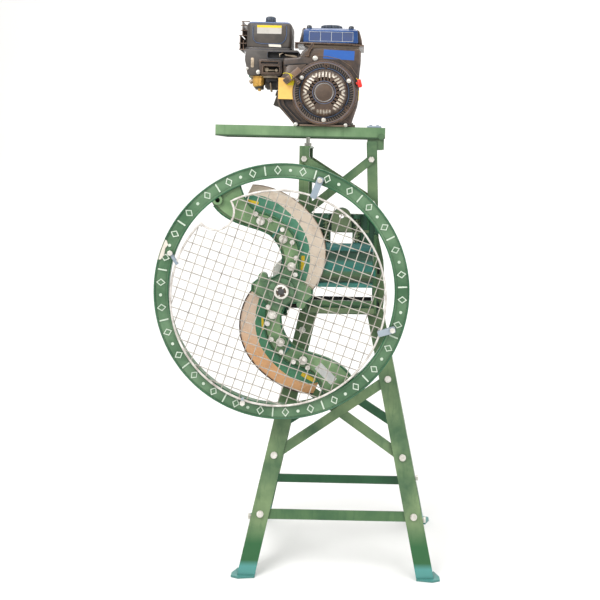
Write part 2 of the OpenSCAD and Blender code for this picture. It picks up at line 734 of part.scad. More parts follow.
// A spring wire wound as one tube, eight rings to a turn
module spring_coil(x) {
  low = jaw_top_z + 2 + slip + spring_wire_d / 2;
  high = ear_low_z - slip - spring_wire_d / 2;
  rings = 8 * spring_turns;
  w = spring_wire_d / 2;
  translate([x, spring_y, 0]) polyhedron(
    [for (i = [0 : rings], k = [0 : 5]) let (a = 45 * i, b = 60 * k, r = spring_r + w * cos(b))
      [r * cos(a), r * sin(a), low + (high - low) * i / rings + w * sin(b)]],
    concat([[for (k = [0 : 5]) k]],
      [for (i = [0 : rings - 1], k = [0 : 5]) let (a = 6 * i + k, b = 6 * i + (k + 1) % 6)
        each [[a, a + 6, b + 6], [a, b + 6, b]]],
      [[for (k = [5 : -1 : 0]) 6 * rings + k]]));
}

module pressure_springs() {
  color(dark_steel) for (x = rod_at) spring_coil(x);
}

// A roller's section: a disc with V-shaped teeth all round
module roller_section() {
  points = 2 * roller_teeth;
  polygon([for (i = [0 : points - 1])
    let (a = 180 * i / roller_teeth, r = i % 2 == 0 ? roller_r : roller_r - flute)
    [r * cos(a), r * sin(a)]]);
}

module feed_roller(z, x0, turn, end_gap) {
  color(dark_steel) {
    translate([0, roller_y, z]) rotate([turn, 0, 0])
      wall_x(mouth_x0 + end_gap, mouth_x1 - end_gap) roller_section();
    rod_x(roller_y, z, x0, cheek_out1 + 8, roller_shaft_d / 2);
  }
}

module upper_roller() {
  feed_roller(shaft_z + roller_off, hub_x - 10, 0, 14);
}

module lower_roller() {
  feed_roller(shaft_z - roller_off, hub_x - 10, 180 / roller_teeth, 3);
}

// A worm wheel: straight-cut teeth deep enough for the jaw's lift, with a hub and a rim
module worm_wheel(z, phase) {
  n = worm_wheel_teeth;
  tip = wheel_pitch_r + tooth_h - 0.6;
  root = wheel_pitch_r - tooth_h - 1;
  foot = 360 / n / 4 - 1.6;
  head = 360 / n / 4 - 3.6;
  color(dark_steel) translate([hub_x, roller_y, z]) difference() {
    union() {
      rotate([phase, 0, 0]) wall_x(-9, 9) union() {
        circle(root);
        for (i = [0 : n - 1]) let (a = 360 * i / n) polygon([
          [(root - 1) * cos(a - foot), (root - 1) * sin(a - foot)],
          [tip * cos(a - head), tip * sin(a - head)],
          [tip * cos(a + head), tip * sin(a + head)],
          [(root - 1) * cos(a + foot), (root - 1) * sin(a + foot)]]);
      }
      rod_x(0, 0, -9, 14, roller_shaft_d / 2 + 7);
    }
    rod_x(0, 0, -10, 15, roller_shaft_d / 2 + fit_gap);
  }
}

module upper_worm_wheel() {
  worm_wheel(shaft_z + roller_off, -90 + 180 / worm_wheel_teeth);
}

module lower_worm_wheel() {
  worm_wheel(shaft_z - roller_off, 90);
}

// The brackets that carry the main shaft beside the head, before and behind the worm
module bearing_bracket() {
  color(deep_green) difference() {
    union() {
      rod_y(hub_x, shaft_z, bracket_y0, bracket_y1, 30);
      wall_y(bracket_y0 + 2, bracket_y1 - 4)
        polygon([[hub_x - 10, shaft_z - 28], [cheek_out0, shaft_z - 40], [cheek_out0, shaft_z + 72],
          [hub_x - 10, shaft_z + 28]]);
      rod_y(hub_x, shaft_z, rear_bearing_y0, rear_bearing_y1, 28);
      wall_y(rear_bearing_y0 + 4, rear_bearing_y1 - 4)
        polygon([[hub_x - 10, shaft_z - 26], [cheek_out0, shaft_z - 58], [cheek_out0, shaft_z + 62],
          [hub_x - 10, shaft_z + 26]]);
    }
    rod_y(hub_x, shaft_z, bracket_y0 - 1, rear_bearing_y1 + 1, shaft_d / 2 + 4);
  }
}

module bearing_caps() {
  color(brass_tone) difference() {
    union() {
      rod_y(hub_x, shaft_z, bracket_y0, bracket_y1 + 1.5, shaft_d / 2 + 4 - fit_gap);
      rod_y(hub_x, shaft_z, rear_bearing_y0 - 1.5, rear_bearing_y1, shaft_d / 2 + 4 - fit_gap);
    }
    rod_y(hub_x, shaft_z, bracket_y0 - 1, rear_bearing_y1 + 1, shaft_d / 2 + run_gap);
  }
}

// The sloping plane of the front legs, with its origin at their top
module stand_plane() {
  translate([0, -plane_y, leg_top_z]) rotate([-lean, 0, 0]) children();
}

// The front right leg; the others are its mirror images
module leg(bolts) {
  foot_x = leg_x(0);
  foot_y = -leg_foot_depth / 2;
  difference() {
    union() {
      intersection() {
        stand_plane() translate([leg_top_w / 2, 0, 0]) rotate([0, -spread, 0]) {
          block([-angle_w, 0, -leg_len - 20], [0, angle_t, 0]);
          block([-angle_t, 0, -leg_len - 20], [0, angle_w, 0]);
        }
        block([0, -400, foot_t - 0.5], [500, 400, leg_top_z + 20]);
      }
      linear_extrude(foot_t) polygon([
        [foot_x - angle_w - 2, foot_y - 4], [foot_x - 6, foot_y - 12], [foot_x + 16, foot_y - 2],
        [foot_x + 16, foot_y + 16], [foot_x + 2, foot_y + angle_w], [foot_x - angle_w - 2, foot_y + 30]]);
    }
    stand_plane() for (p = bolts) rod_y(p[0], plane_z(p[1]), -1, angle_t + 1, bolt_d / 2 + fit_gap);
    rod_x(-leg_foot_depth / 2 + slope_y * side_bar_z + mid, side_bar_z, 150, 400, bolt_d / 2 + fit_gap);
    rod_z(foot_x - mid, foot_y + 17, -1, foot_t + 1, 6);
  }
}

module front_right_leg() {
  color(deep_green) leg(front_bolts);
}

module front_left_leg() {
  color(deep_green) mirror([1, 0, 0]) leg(front_bolts);
}

module rear_right_leg() {
  color(deep_green) mirror([0, 1, 0]) leg(rear_bolts);
}

module rear_left_leg() {
  color(deep_green) mirror([0, 1, 0]) mirror([1, 0, 0]) leg(rear_bolts);
}

// A level bar behind the flanges of two legs
module cross_bar(z) {
  half = leg_x(z + flat_w / 2) - angle_t - 2;
  stand_plane() difference() {
    block([-half, angle_t, plane_z(z) - flat_w / 2], [half, angle_t + flat_t, plane_z(z) + flat_w / 2]);
    for (s = [-1, 1]) rod_y(s * (leg_x(z) - mid), plane_z(z), 0, 30, bolt_d / 2 + fit_gap);
  }
}

module front_bar() {
  color(deep_green) cross_bar(front_bar_z);
}

module rear_bar() {
  color(deep_green) mirror([0, 1, 0]) cross_bar(rear_bar_z);
}

module side_bars() {
  y_bolt = leg_foot_depth / 2 - slope_y * side_bar_z - mid;
  half = y_bolt + mid - 16;
  x_face = leg_x(side_bar_z) - angle_t / cos(spread) - slip - 2.2 * mid * sin(spread) * sin(lean);
  color(deep_green) for (side = [0, 1]) mirror([side, 0, 0]) difference() {
    translate([x_face, 0, side_bar_z]) rotate([0, -spread, 0])
      block([-flat_t, -half, -flat_w / 2], [0, half, flat_w / 2]);
    for (y = [-y_bolt, y_bolt]) rod_x(y, side_bar_z, x_face - 20, x_face + 20, bolt_d / 2 + fit_gap);
  }
}

// Two crossed flats between the legs, the second behind the first
module cross_braces() {
  x_low = leg_x(brace_low_z) - mid;
  x_high = leg_x(brace_high_z) - mid;
  rise = plane_z(brace_high_z) - plane_z(brace_low_z);
  reach = norm([x_low + x_high, rise]);
  turn = atan2(rise, x_low + x_high);
  stand_plane() for (k = [0, 1]) {
    y0 = angle_t + k * (flat_t + slip);
    mirror([k, 0, 0]) translate([-x_low, 0, plane_z(brace_low_z)]) rotate([0, -turn, 0]) difference() {
      union() {
        block([0, y0, -flat_w / 2], [reach, y0 + flat_t, flat_w / 2]);
        for (x = [0, reach]) rod_y(x, 0, y0, y0 + flat_t, flat_w / 2);
      }
      for (x = [0, reach]) rod_y(x, 0, y0 - 1, y0 + flat_t + 1, bolt_d / 2 + fit_gap);
    }
  }
}

module front_cross_braces() {
  color(deep_green) cross_braces();
}

module rear_cross_braces() {
  color(deep_green) mirror([0, 1, 0]) cross_braces();
}

// A bolt through the stand's plane: head and washer in front, nut behind a stack of given depth
module plane_bolt(x, z, stack) {
  rod_y(x, z, -1.5, 0, bolt_d);
  hex_y(x, z, -1.5 - 6.5, -1.5, bolt_d * 1.6);
  rod_y(x, z, -1.5, stack + 10, bolt_d / 2);
  hex_y(x, z, stack, stack + 8, bolt_d * 1.6);
}

module plane_bolts(bar_z) {
  behind = angle_t + flat_t;
  both = behind + flat_t + slip;
  stand_plane() for (s = [-1, 1]) {
    plane_bolt(s * (leg_x(bar_z) - mid), plane_z(bar_z), behind);
    plane_bolt(s * (leg_x(brace_low_z) - mid), plane_z(brace_low_z), s < 0 ? behind : both);
    plane_bolt(s * (leg_x(brace_high_z) - mid), plane_z(brace_high_z), s > 0 ? behind : both);
    plane_bolt(s * top_bolt_x, plane_z(top_bolt_z), angle_t + lug_t);
  }
  stand_plane() {
    for (p = [[leg_x(brace_low_z) - mid, brace_low_z], [-leg_x(brace_high_z) + mid, brace_high_z]])
      rod_y(p[0], plane_z(p[1]), angle_t, angle_t + flat_t + slip, bolt_d);
  }
}

module stand_bolts() {
  y_bolt = leg_foot_depth / 2 - slope_y * side_bar_z - mid;
  x_out = leg_x(side_bar_z);
  color(bare_steel) {
    plane_bolts(front_bar_z);
    mirror([0, 1, 0]) plane_bolts(rear_bar_z);
    for (side = [0, 1], back = [0, 1]) mirror([side, 0, 0]) mirror([0, back, 0]) {
      rod_x(-y_bolt, side_bar_z, x_out - 24, x_out + 2, bolt_d / 2);
      rod_x(-y_bolt, side_bar_z, x_out + 1.8, x_out + 8.3, bolt_d * 0.92, $fn = 6);
      rod_x(-y_bolt, side_bar_z, x_out - 24, x_out - 16, bolt_d * 0.92, $fn = 6);
    }
  }
}

// The holes for a post's strap bolts
module post_holes(ends) {
  for (p = ends) rod_y(p[0], p[1], post_front - 1, post_front + post_t + 1, bolt_d / 2 + fit_gap);
}

// The front left post; its corner lies against the cheek
module left_post() {
  x0 = left_corner - post_w;
  difference() {
    union() {
      block([x0, post_front, post_foot_z], [left_corner, post_front + post_t, left_post_top]);
      block([left_corner - post_t, post_front, post_foot_z],
        [left_corner, post_front + post_w, left_post_top]);
    }
    post_holes(strap_ends_left);
    rod_x(post_front + post_w / 2 + 3, post_bolt_z, left_corner - 9, left_corner + 1, bolt_d / 2 + fit_gap);
  }
}

module left_posts() {
  color(deep_green) {
    left_post();
    mirror([0, 1, 0]) left_post();
  }
}

module right_post() {
  difference() {
    union() {
      wall_y(post_front, post_front + post_t) polygon([
        [right_corner - post_w, right_foot_top], [right_corner, right_foot_top],
        [right_post_x, right_post_top], [right_post_x - post_w, right_post_top]]);
      wall_y(post_front, post_front + post_w) polygon([
        [right_corner - post_t, post_foot_z], [right_corner, post_foot_z], [right_corner, right_foot_top],
        [right_edge(right_side_top), right_side_top], [right_edge(right_side_top) - post_t, right_side_top],
        [right_corner - post_t, right_foot_top]]);
      wall_y(post_front, post_front + post_t) polygon([
        [cheek_out1 + slip, leg_top_z - 12], [right_corner + 15, leg_top_z - 12],
        [right_corner + 20, shaft_z - 38], [right_corner + 20, shaft_z + 24],
        [right_corner + 16, shaft_z + 78], [right_corner + 7, shaft_z + 118],
        [right_corner, right_foot_top + 1], [right_corner - post_t + 0.5, right_foot_top + 1],
        [right_corner - post_t + 0.5, post_foot_z], [cheek_out1 + slip, post_foot_z]]);
    }
    post_holes(strap_ends_right);
    rod_x(post_front + post_w / 2, post_bolt_z, cheek_out1 - 1, right_corner + 1, bolt_d / 2 + fit_gap);
  }
}

module right_posts() {
  color(deep_green) {
    right_post();
    mirror([0, 1, 0]) right_post();
  }
}

// A flat from one end to another, in X and Z, before the posts' flanges
module strap(a, b, y0) {
  turn = atan2(b[1] - a[1], b[0] - a[0]);
  reach = norm(b - a);
  translate([a[0], 0, a[1]]) rotate([0, -turn, 0]) difference() {
    union() {
      block([0, y0, -strap_w / 2], [reach, y0 + strap_t, strap_w / 2]);
      for (x = [0, reach]) rod_y(x, 0, y0, y0 + strap_t, strap_w / 2);
    }
    for (x = [0, reach]) rod_y(x, 0, y0 - 1, y0 + strap_t + 1, bolt_d / 2 + fit_gap);
  }
}

module post_straps() {
  y0 = post_front - strap_t;
  color(deep_green) for (back = [0, 1]) mirror([0, back, 0]) {
    strap(strap_ends_left[1], strap_ends_right[0], y0);
    strap(strap_ends_left[0], strap_ends_right[1], y0 - strap_t - slip);
  }
}

module tower_bolts() {
  ends = concat(
    [for (k = [0, 1]) [strap_ends_left[k], k == 0]],
    [for (k = [0, 1]) [strap_ends_right[k], k == 1]]);
  left_y = post_front + post_w / 2 + 3;
  left_in = left_corner - post_t;
  color(bare_steel) for (back = [0, 1]) mirror([0, back, 0]) {
    for (e = ends) {
      face = -strap_t - (e[1] ? strap_t + slip : 0);
      translate([0, post_front, 0]) {
        hex_y(e[0][0], e[0][1], face - 6.5, face, bolt_d * 1.6);
        rod_y(e[0][0], e[0][1], face - 1, post_t + 10, bolt_d / 2);
        hex_y(e[0][0], e[0][1], post_t, post_t + 8, bolt_d * 1.6);
        if (e[1]) rod_y(e[0][0], e[0][1], -strap_t - slip, 0, 8.5);
      }
    }
    rod_x(left_y, post_bolt_z, left_in - 8, left_corner, bolt_d / 2);
    rod_x(left_y, post_bolt_z, left_in - 6, left_in, bolt_d * 0.85);
    rod_x(post_front + post_w / 2, post_bolt_z, right_corner - post_t, right_corner + 8, bolt_d / 2);
    rod_x(post_front + post_w / 2, post_bolt_z, right_corner, right_corner + 6, bolt_d * 0.85);
  }
}

// The four base bolts' places, through everything between two heights
module base_holes(z0, z1) {
  for (x = [-1, 1], y = [-1, 1])
    rod_z(base_cx + x * base_x / 2, base_cy + y * base_y / 2, z0, z1, 4 + fit_gap);
}

module engine_platform() {
  half = platform_depth / 2;
  color(deep_green) difference() {
    union() {
      block([-platform_left, -half, platform_z - plate_t], [platform_right, half, platform_z]);
      for (back = [0, 1]) mirror([0, back, 0])
        block([-platform_left, -half, platform_z - rail_h], [platform_right, -half + rail_t, platform_z]);
      block([-platform_left, -half, platform_z - rail_h], [-platform_left + rail_t, half, platform_z]);
    }
    for (back = [0, 1]) mirror([0, back, 0])
      rod_y(hinge_x, hinge_z, -half - 1, -half + rail_t + 1, hinge_pin_d / 2 + run_gap);
    base_holes(platform_z - plate_t - 1, platform_z + 1);
  }
}

module platform_hinge() {
  half = platform_depth / 2;
  ear_y0 = post_front + post_t;
  color(dark_steel) for (back = [0, 1]) mirror([0, back, 0]) {
    block([right_post_x - post_w + 2, ear_y0, right_post_top - 25],
      [hinge_x + hinge_r, ear_y0 + 6, hinge_z + hinge_r]);
    rod_y(hinge_x, hinge_z, -half - 1, ear_y0 + 1, hinge_pin_d / 2);
    rod_y(hinge_x, hinge_z, -half - 6, -half - slip, hinge_r);
  }
}

module tension_bracket() {
  color(deep_green) difference() {
    block([left_corner - post_w, post_front, left_post_top],
      [left_corner + 2, post_back, left_post_top + bracket_t]);
    rod_z(tension_x, 0, left_post_top - 1, left_post_top + bracket_t + 1, tension_d / 2 + run_gap);
  }
}

module tension_screw() {
  ball_z = platform_z - plate_t - slip - tension_d / 2;
  color(bare_steel) {
    rod_z(tension_x, 0, left_post_top - 36, ball_z, tension_d / 2);
    translate([tension_x, 0, ball_z]) sphere(tension_d / 2);
    translate([tension_x, 0, left_post_top + bracket_t + 0.4]) cylinder(h = 10, r = 11, $fn = 6);
  }
}

// Engine: the crankcase seen along the crankshaft
module case_shape(top) {
  round_rect([crank_x - 67, platform_z + 8], [crank_x + 62, top], 22);
}

module crankcase() {
  top = crank_z + 84;
  color(black_enamel) difference() {
    union() {
      translate([0, 0, platform_z]) linear_extrude(10)
        round_rect([base_cx - base_x / 2 - 14, base_cy - base_y / 2 - 14],
          [base_cx + base_x / 2 + 14, base_cy + base_y / 2 + 14], 10);
      wall_y(fan_back + 5, case_back) case_shape(top);
      for (x = [crank_x - 56, crank_x + 42], y = [fan_back + 8, 40])
        block([x, y, top - 14], [x + 12, y + 16, tank_z]);
      rod_y(crank_x, crank_z, case_back - 1, case_back + 8, 46);
      rod_y(crank_x + 48, platform_z + 34, case_back - 1, case_back + 10, 13);
    }
    rod_y(crank_x, crank_z, fan_back, case_back + 10, output_d / 2 + 6);
    base_holes(platform_z - 1, platform_z + 12);
  }
}

// The fan's shroud: a drum, and a shell round it that reaches over the cylinder and down to the platform
module fan_housing() {
  wall = 3;
  inner_line = [for (p = shroud_line) 0.96 * p];
  color(black_enamel) difference() {
    union() {
      rod_y(crank_x, crank_z, fan_front, fan_back + 5, fan_r);
      wall_y(fan_front + 14, fan_back + 5) translate([crank_x, crank_z]) polygon(shroud_line);
    }
    rod_y(crank_x, crank_z, fan_front + wall, fan_back + 6, fan_r - wall);
    wall_y(fan_front + 14 + wall, fan_back + 6) translate([crank_x, crank_z]) polygon(inner_line);
    rod_y(crank_x, crank_z, fan_front - 1, fan_front + wall + 1, recoil_r - 8);
  }
}

// The recoil starter's domed cover: six groups of parallel slots
module recoil_cover() {
  front = fan_front - 22;
  outer = recoil_r - 9;
  pitch = 10;
  half = 2.75;
  color(black_enamel) difference() {
    union() {
      translate([crank_x, fan_front, crank_z]) rotate([90, 0, 0]) rotate_extrude($fn = 96) polygon([
        [0, 19], [24, 19], [28, 22], [recoil_r - 16, 22], [recoil_r - 5, 16], [recoil_r, 6],
        [recoil_r + 3, 2.5], [recoil_r + 9, 2.5], [recoil_r + 9, 0], [recoil_r - 3, 0],
        [recoil_r - 8, 13], [recoil_r - 18, 18.5],
        [28, 18.5], [25, 16], [0, 16]]);
    }
    for (k = [0 : 5], j = [-2 : 2]) let (side = abs(j) * pitch + half) rotate_at(60 * k + 30)
      block([max(33, (side + 3) / tan(30)), front - 1, j * pitch - half],
        [sqrt(outer * outer - side * side), fan_front - 10, j * pitch + half]);
  }
}

// Turns a shape about a line along Y
module rotate_about(x, z, a) {
  translate([x, 0, z]) rotate([0, a, 0]) translate([-x, 0, -z]) children();
}

// Turns a shape about the crankshaft's axis
module rotate_at(a) {
  translate([crank_x, 0, crank_z]) rotate([0, a, 0]) children();
}

module starter_handle() {
  color(black_enamel) translate([starter_at[0], fan_front - 12, starter_at[1]]) {
    rotate([0, -42, 0]) {
      block([-22, -grip_r, -grip_r], [22, grip_r, grip_r]);
      for (x = [-22, 22]) rod_y(x, 0, -grip_r, grip_r, grip_r);
    }
    rotate([0, 51, 0]) rod_x(0, 0, 6, 32, 5.7);
  }
}

module crankshaft() {
  color(bare_steel) {
    rod_y(crank_x, crank_z, fan_front + 12, case_back, output_d / 2 + 5);
    rod_y(crank_x, crank_z, case_back - 1, pulley_y + 13, output_d / 2);
    rod_y(crank_x, crank_z, pulley_y + 12, pulley_y + 15, output_d / 2 - 3);
    rod_y(crank_x, crank_z, pulley_y + 14.2, output_end, output_d / 2 - 2);
    difference() {
      rod_y(crank_x, crank_z, fan_front + 16, fan_front + 40, fan_r - 14);
      for (i = [0 : 15]) rotate_at(i * 22.5)
        translate([recoil_r - 24, fan_front + 10, -2.6]) cube([26, 18, 12]);
    }
  }
}

module engine_pulley() {
  color(dark_steel) translate([crank_x, pulley_y, crank_z]) difference() {
    pulley(engine_pulley_d / 2, 12, output_d / 2 + fit_gap);
  }
}

// The finned cylinder and its head cover, inclined above the level to the left
module cylinder_head() {
  incline = 72;
  reach = 70;
  color(dark_steel) difference() {
    translate([crank_x - 60, 36, crank_z - 24]) rotate([0, -incline, 0]) {
      block([-36, -36, -10], [36, 36, reach]);
      for (i = [0 : 6]) block([-44, -46, 12 + i * 9], [44, 46, 15 + i * 9]);
      block([-40, -40, reach], [40, 40, reach + 26]);
      rod_z(0, 0, reach + 25, reach + 34, 9);
    }
    wall_y(-80, 120) case_shape(crank_z + 84);
  }
}

// Engine pieces whose numbers are heights and places at the crankshaft as drawn
module with_engine() {
  translate([crank_x - drawn_at[0], 0, crank_z - drawn_at[1]]) children();
}

// Air cleaner: a duct at the bottom, a body and a domed cover with its knob
module air_cleaner() {
  y0 = -92;
  y1 = 50;
  color(black_enamel) with_engine() {
    difference() {
      union() {
        wall_y(y0 + 12, y1 - 10) round_rect([-312, 1468], [-194, 1544], 12);
        translate([0, 0, 1540]) linear_extrude(8) round_rect([-306, y0 - 3], [-166, y1 + 3], 14);
      }
      translate([0, 0, 1548]) linear_extrude(20) round_rect([-296, y0], [-190, y1], 5);
    }
    hull() {
      translate([0, 0, 1548]) linear_extrude(60) round_rect([-303, y0], [-168, y1], 12);
      translate([0, 0, 1606]) linear_extrude(20) round_rect([-293, y0 + 12], [-178, y1 - 12], 12);
    }
    translate([-236, -20, 1625]) cylinder(h = 17, r1 = 18, r2 = 14, $fn = 24);
  }
}

module carburettor() {
  color(bare_steel) with_engine() {
    block([-250, -60, 1424], [-206, -20, 1463]);
    rod_z(-268, -46, 1432, 1462, 17);
    rod_z(-268, -46, 1418, 1433, 13);
    block([-207, -50, 1426], [-184, -4 - slip, 1450]);
    block([-283, -66, 1457], [-214, -24, 1468]);
  }
}

module choke_lever() {
  color(black_enamel) with_engine() {
    rod_y(-256, 1486, -88, -80.3, 6);
    block([-256, -87, 1482], [-214, -83, 1490]);
    rod_y(-216, 1486, -92, -82, 8);
  }
}

module throttle_lever() {
  color(dark_steel) {
    rod_y(throttle_at[0], throttle_at[1], fan_front + 6, fan_front + 13.7, 7);
    rotate_about(throttle_at[0], throttle_at[1], 28)
      block([throttle_at[0] - 4, fan_front + 6, throttle_at[1] - 2],
        [throttle_at[0] + 4, fan_front + 10, throttle_at[1] + 36]);
  }
}

module fuel_lever() {
  color(dark_steel) with_engine() {
    rod_y(-240, 1446, -70, -60.3, 6);
    block([-240, -70, 1443], [-214, -66, 1449]);
  }
}

module fuel_tank() {
  z0 = tank_z;
  y0 = -104;
  y1 = 74;
  color(tank_blue) translate([crank_x - drawn_at[0], 0, 0]) {
    hull() {
      translate([0, 0, z0 + 8]) linear_extrude(28) round_rect([-146, y0], [43, y1], 18);
      translate([0, 0, z0 + 34]) linear_extrude(16) round_rect([-134, y0 + 16], [30, y1 - 16], 14);
    }
    translate([0, 0, z0]) linear_extrude(9) round_rect([-157, y0 - 6], [51, y1 + 6], 12);
    translate([-51, -14, z0 + 48]) cylinder(h = 6, r = 22);
  }
}

module fuel_cap() {
  color(black_enamel) translate([crank_x + 14, -14, tank_z + 54.3]) {
    cylinder(h = 12, r = 33);
    for (i = [0 : 11]) rotate([0, 0, i * 30]) translate([32, 0, 0]) cylinder(h = 11, r = 3.4);
  }
}

// Muffler with its slotted guard, behind the air cleaner
module muffler() {
  color(bare_steel) with_engine() {
    wall_y(56, 128) round_rect([-322, 1556], [-190, 1622], 20);
    for (i = [0 : 5]) block([-328, 50 + i * 14, 1552], [-322, 58 + i * 14, 1626]);
    rod_y(-240, 1580, 127, 140, 12);
    rod_z(-200, 92, 1418, 1560, 12);
    rod_y(-200, 1418, 76 + slip, 92, 12);
  }
}

module engine_bolts() {
  color(bare_steel) for (x = [-1, 1], y = [-1, 1]) {
    bx = base_cx + x * base_x / 2;
    by = base_cy + y * base_y / 2;
    rod_z(bx, by, platform_z - plate_t - 8, platform_z + 11, 4);
    translate([bx, by, platform_z + 10]) cylinder(h = 6, r = 7.5, $fn = 6);
    translate([bx, by, platform_z - plate_t - 7]) cylinder(h = 7, r = 7.5, $fn = 6);
  }
}

module stop_switch() {
  color(red_plastic) {
    block([switch_at[0] + 2, fan_front + 4, switch_at[1] - 12],
      [switch_at[0] + 15, fan_front + 12, switch_at[1] + 11]);
    rod_y(switch_at[0], switch_at[1], fan_front + 2, fan_front + 13.7, 5);
  }
}

flywheel();
upper_blade();
lower_blade();
blade_bolts();
set_screws();
hub_nut();
guard_ring();
guard_mesh();
guard_clips();
main_shaft();
worm();
driven_pulley();
head_casting();
mouth_plate();
ledger_blade();
top_bridge();
bearing_bracket();
bearing_caps();
upper_jaw();
jaw_rods();
pressure_springs();
upper_roller();
lower_roller();
upper_worm_wheel();
lower_worm_wheel();
front_left_leg();
front_right_leg();
rear_left_leg();
rear_right_leg();
front_bar();
rear_bar();
side_bars();
front_cross_braces();
rear_cross_braces();
stand_bolts();
left_posts();
right_posts();
post_straps();
tower_bolts();
engine_platform();
platform_hinge();
tension_screw();
tension_bracket();
crankcase();
fan_housing();
recoil_cover();
starter_handle();
crankshaft();
engine_pulley();
cylinder_head();
air_cleaner();
carburettor();
choke_lever();
throttle_lever();
fuel_lever();
fuel_tank();
fuel_cap();
muffler();
engine_bolts();
stop_switch();
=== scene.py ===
"""Looks of the chaff cutter: finishes, small parts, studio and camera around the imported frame.

Lengths are in millimetres in this file and are turned to metres where a mesh is made.
The front, with the cutting wheel, faces -Y, and up is +Z.
"""

import logging
import math
import random
from dataclasses import dataclass
from enum import Enum

import bpy
from mathutils import Matrix, Vector


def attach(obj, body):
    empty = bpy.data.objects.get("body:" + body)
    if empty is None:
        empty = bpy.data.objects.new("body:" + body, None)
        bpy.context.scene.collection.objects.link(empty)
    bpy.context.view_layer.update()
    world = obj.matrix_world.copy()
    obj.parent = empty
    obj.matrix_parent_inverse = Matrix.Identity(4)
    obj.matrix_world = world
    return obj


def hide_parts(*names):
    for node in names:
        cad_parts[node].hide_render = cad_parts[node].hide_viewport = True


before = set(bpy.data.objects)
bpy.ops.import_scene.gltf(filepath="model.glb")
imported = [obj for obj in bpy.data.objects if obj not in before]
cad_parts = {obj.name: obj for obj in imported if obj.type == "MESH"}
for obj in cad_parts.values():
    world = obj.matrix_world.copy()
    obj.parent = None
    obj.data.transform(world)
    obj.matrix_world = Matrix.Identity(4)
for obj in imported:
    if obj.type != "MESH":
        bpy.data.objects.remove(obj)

log = logging.getLogger("chaff_cutter")

MM = 0.001
FLAT_ANGLE = 35.0

Flat = tuple[float, float]
Point = tuple[float, float, float]
Colour = tuple[float, float, float, float]


def tone(code: str) -> Colour:
    """Turns a colour code into the linear values that shaders read.

    Args:
        code: Six hexadecimal digits, red first.

    Returns:
        Linear red, green and blue, and an alpha of one.
    """
    parts = [int(code[i:i + 2], 16) / 255 for i in (0, 2, 4)]
    linear = [c / 12.92 if c <= 0.04045 else ((c + 0.055) / 1.055) ** 2.4 for c in parts]
    return linear[0], linear[1], linear[2], 1.0


def polar(radius: float, degrees: float, centre: Flat = (0.0, 0.0)) -> Flat:
    """Gives the point at a radius and an angle from a centre."""
    angle = math.radians(degrees)
    return centre[0] + radius * math.cos(angle), centre[1] + radius * math.sin(angle)


def rounded(low: Flat, high: Flat, radius: float, steps: int = 5) -> list[Flat]:
    """Draws a rectangle with round corners.

    Args:
        low: Its lower left corner.
        high: Its upper right corner.
        radius: The corners' radius.
        steps: Parts of each corner's quarter turn.

    Returns:
        The outline, anticlockwise.
    """
    corners = ((high[0] - radius, high[1] - radius, 0), (low[0] + radius, high[1] - radius, 90),
               (low[0] + radius, low[1] + radius, 180), (high[0] - radius, low[1] + radius, 270))
    return [polar(radius, start + 90 * i / steps, (x, z))
            for x, z, start in corners for i in range(steps + 1)]


def bezier(a: Flat, b: Flat, c: Flat, d: Flat, steps: int = 16) -> list[Flat]:
    """Draws a curve from a to d that b and c pull towards themselves."""
    points = []
    for i in range(steps + 1):
        t = i / steps
        parts = ((1 - t) ** 3, 3 * (1 - t) ** 2 * t, 3 * (1 - t) * t ** 2, t ** 3)
        points.append((sum(p * s[0] for p, s in zip(parts, (a, b, c, d))),
                       sum(p * s[1] for p, s in zip(parts, (a, b, c, d)))))
    return points


class Side(Enum):
    """The view in which a flat outline is drawn."""

    FRONT = "front"
    TOP = "top"
    END = "end"

    def place(self, point: Flat, depth: float) -> Vector:
        """Puts a point of the outline, at a depth, into the frame in metres."""
        a, b = point
        spots = {Side.FRONT: (a, depth, b), Side.TOP: (a, b, depth), Side.END: (depth, a, b)}
        return Vector(spots[self]) * MM

    def along(self, distance: float) -> Vector:
        """Gives the outline's thickness as a vector in metres."""
        ways = {Side.FRONT: (0, distance, 0), Side.TOP: (0, 0, distance), Side.END: (distance, 0, 0)}
        return Vector(ways[self]) * MM


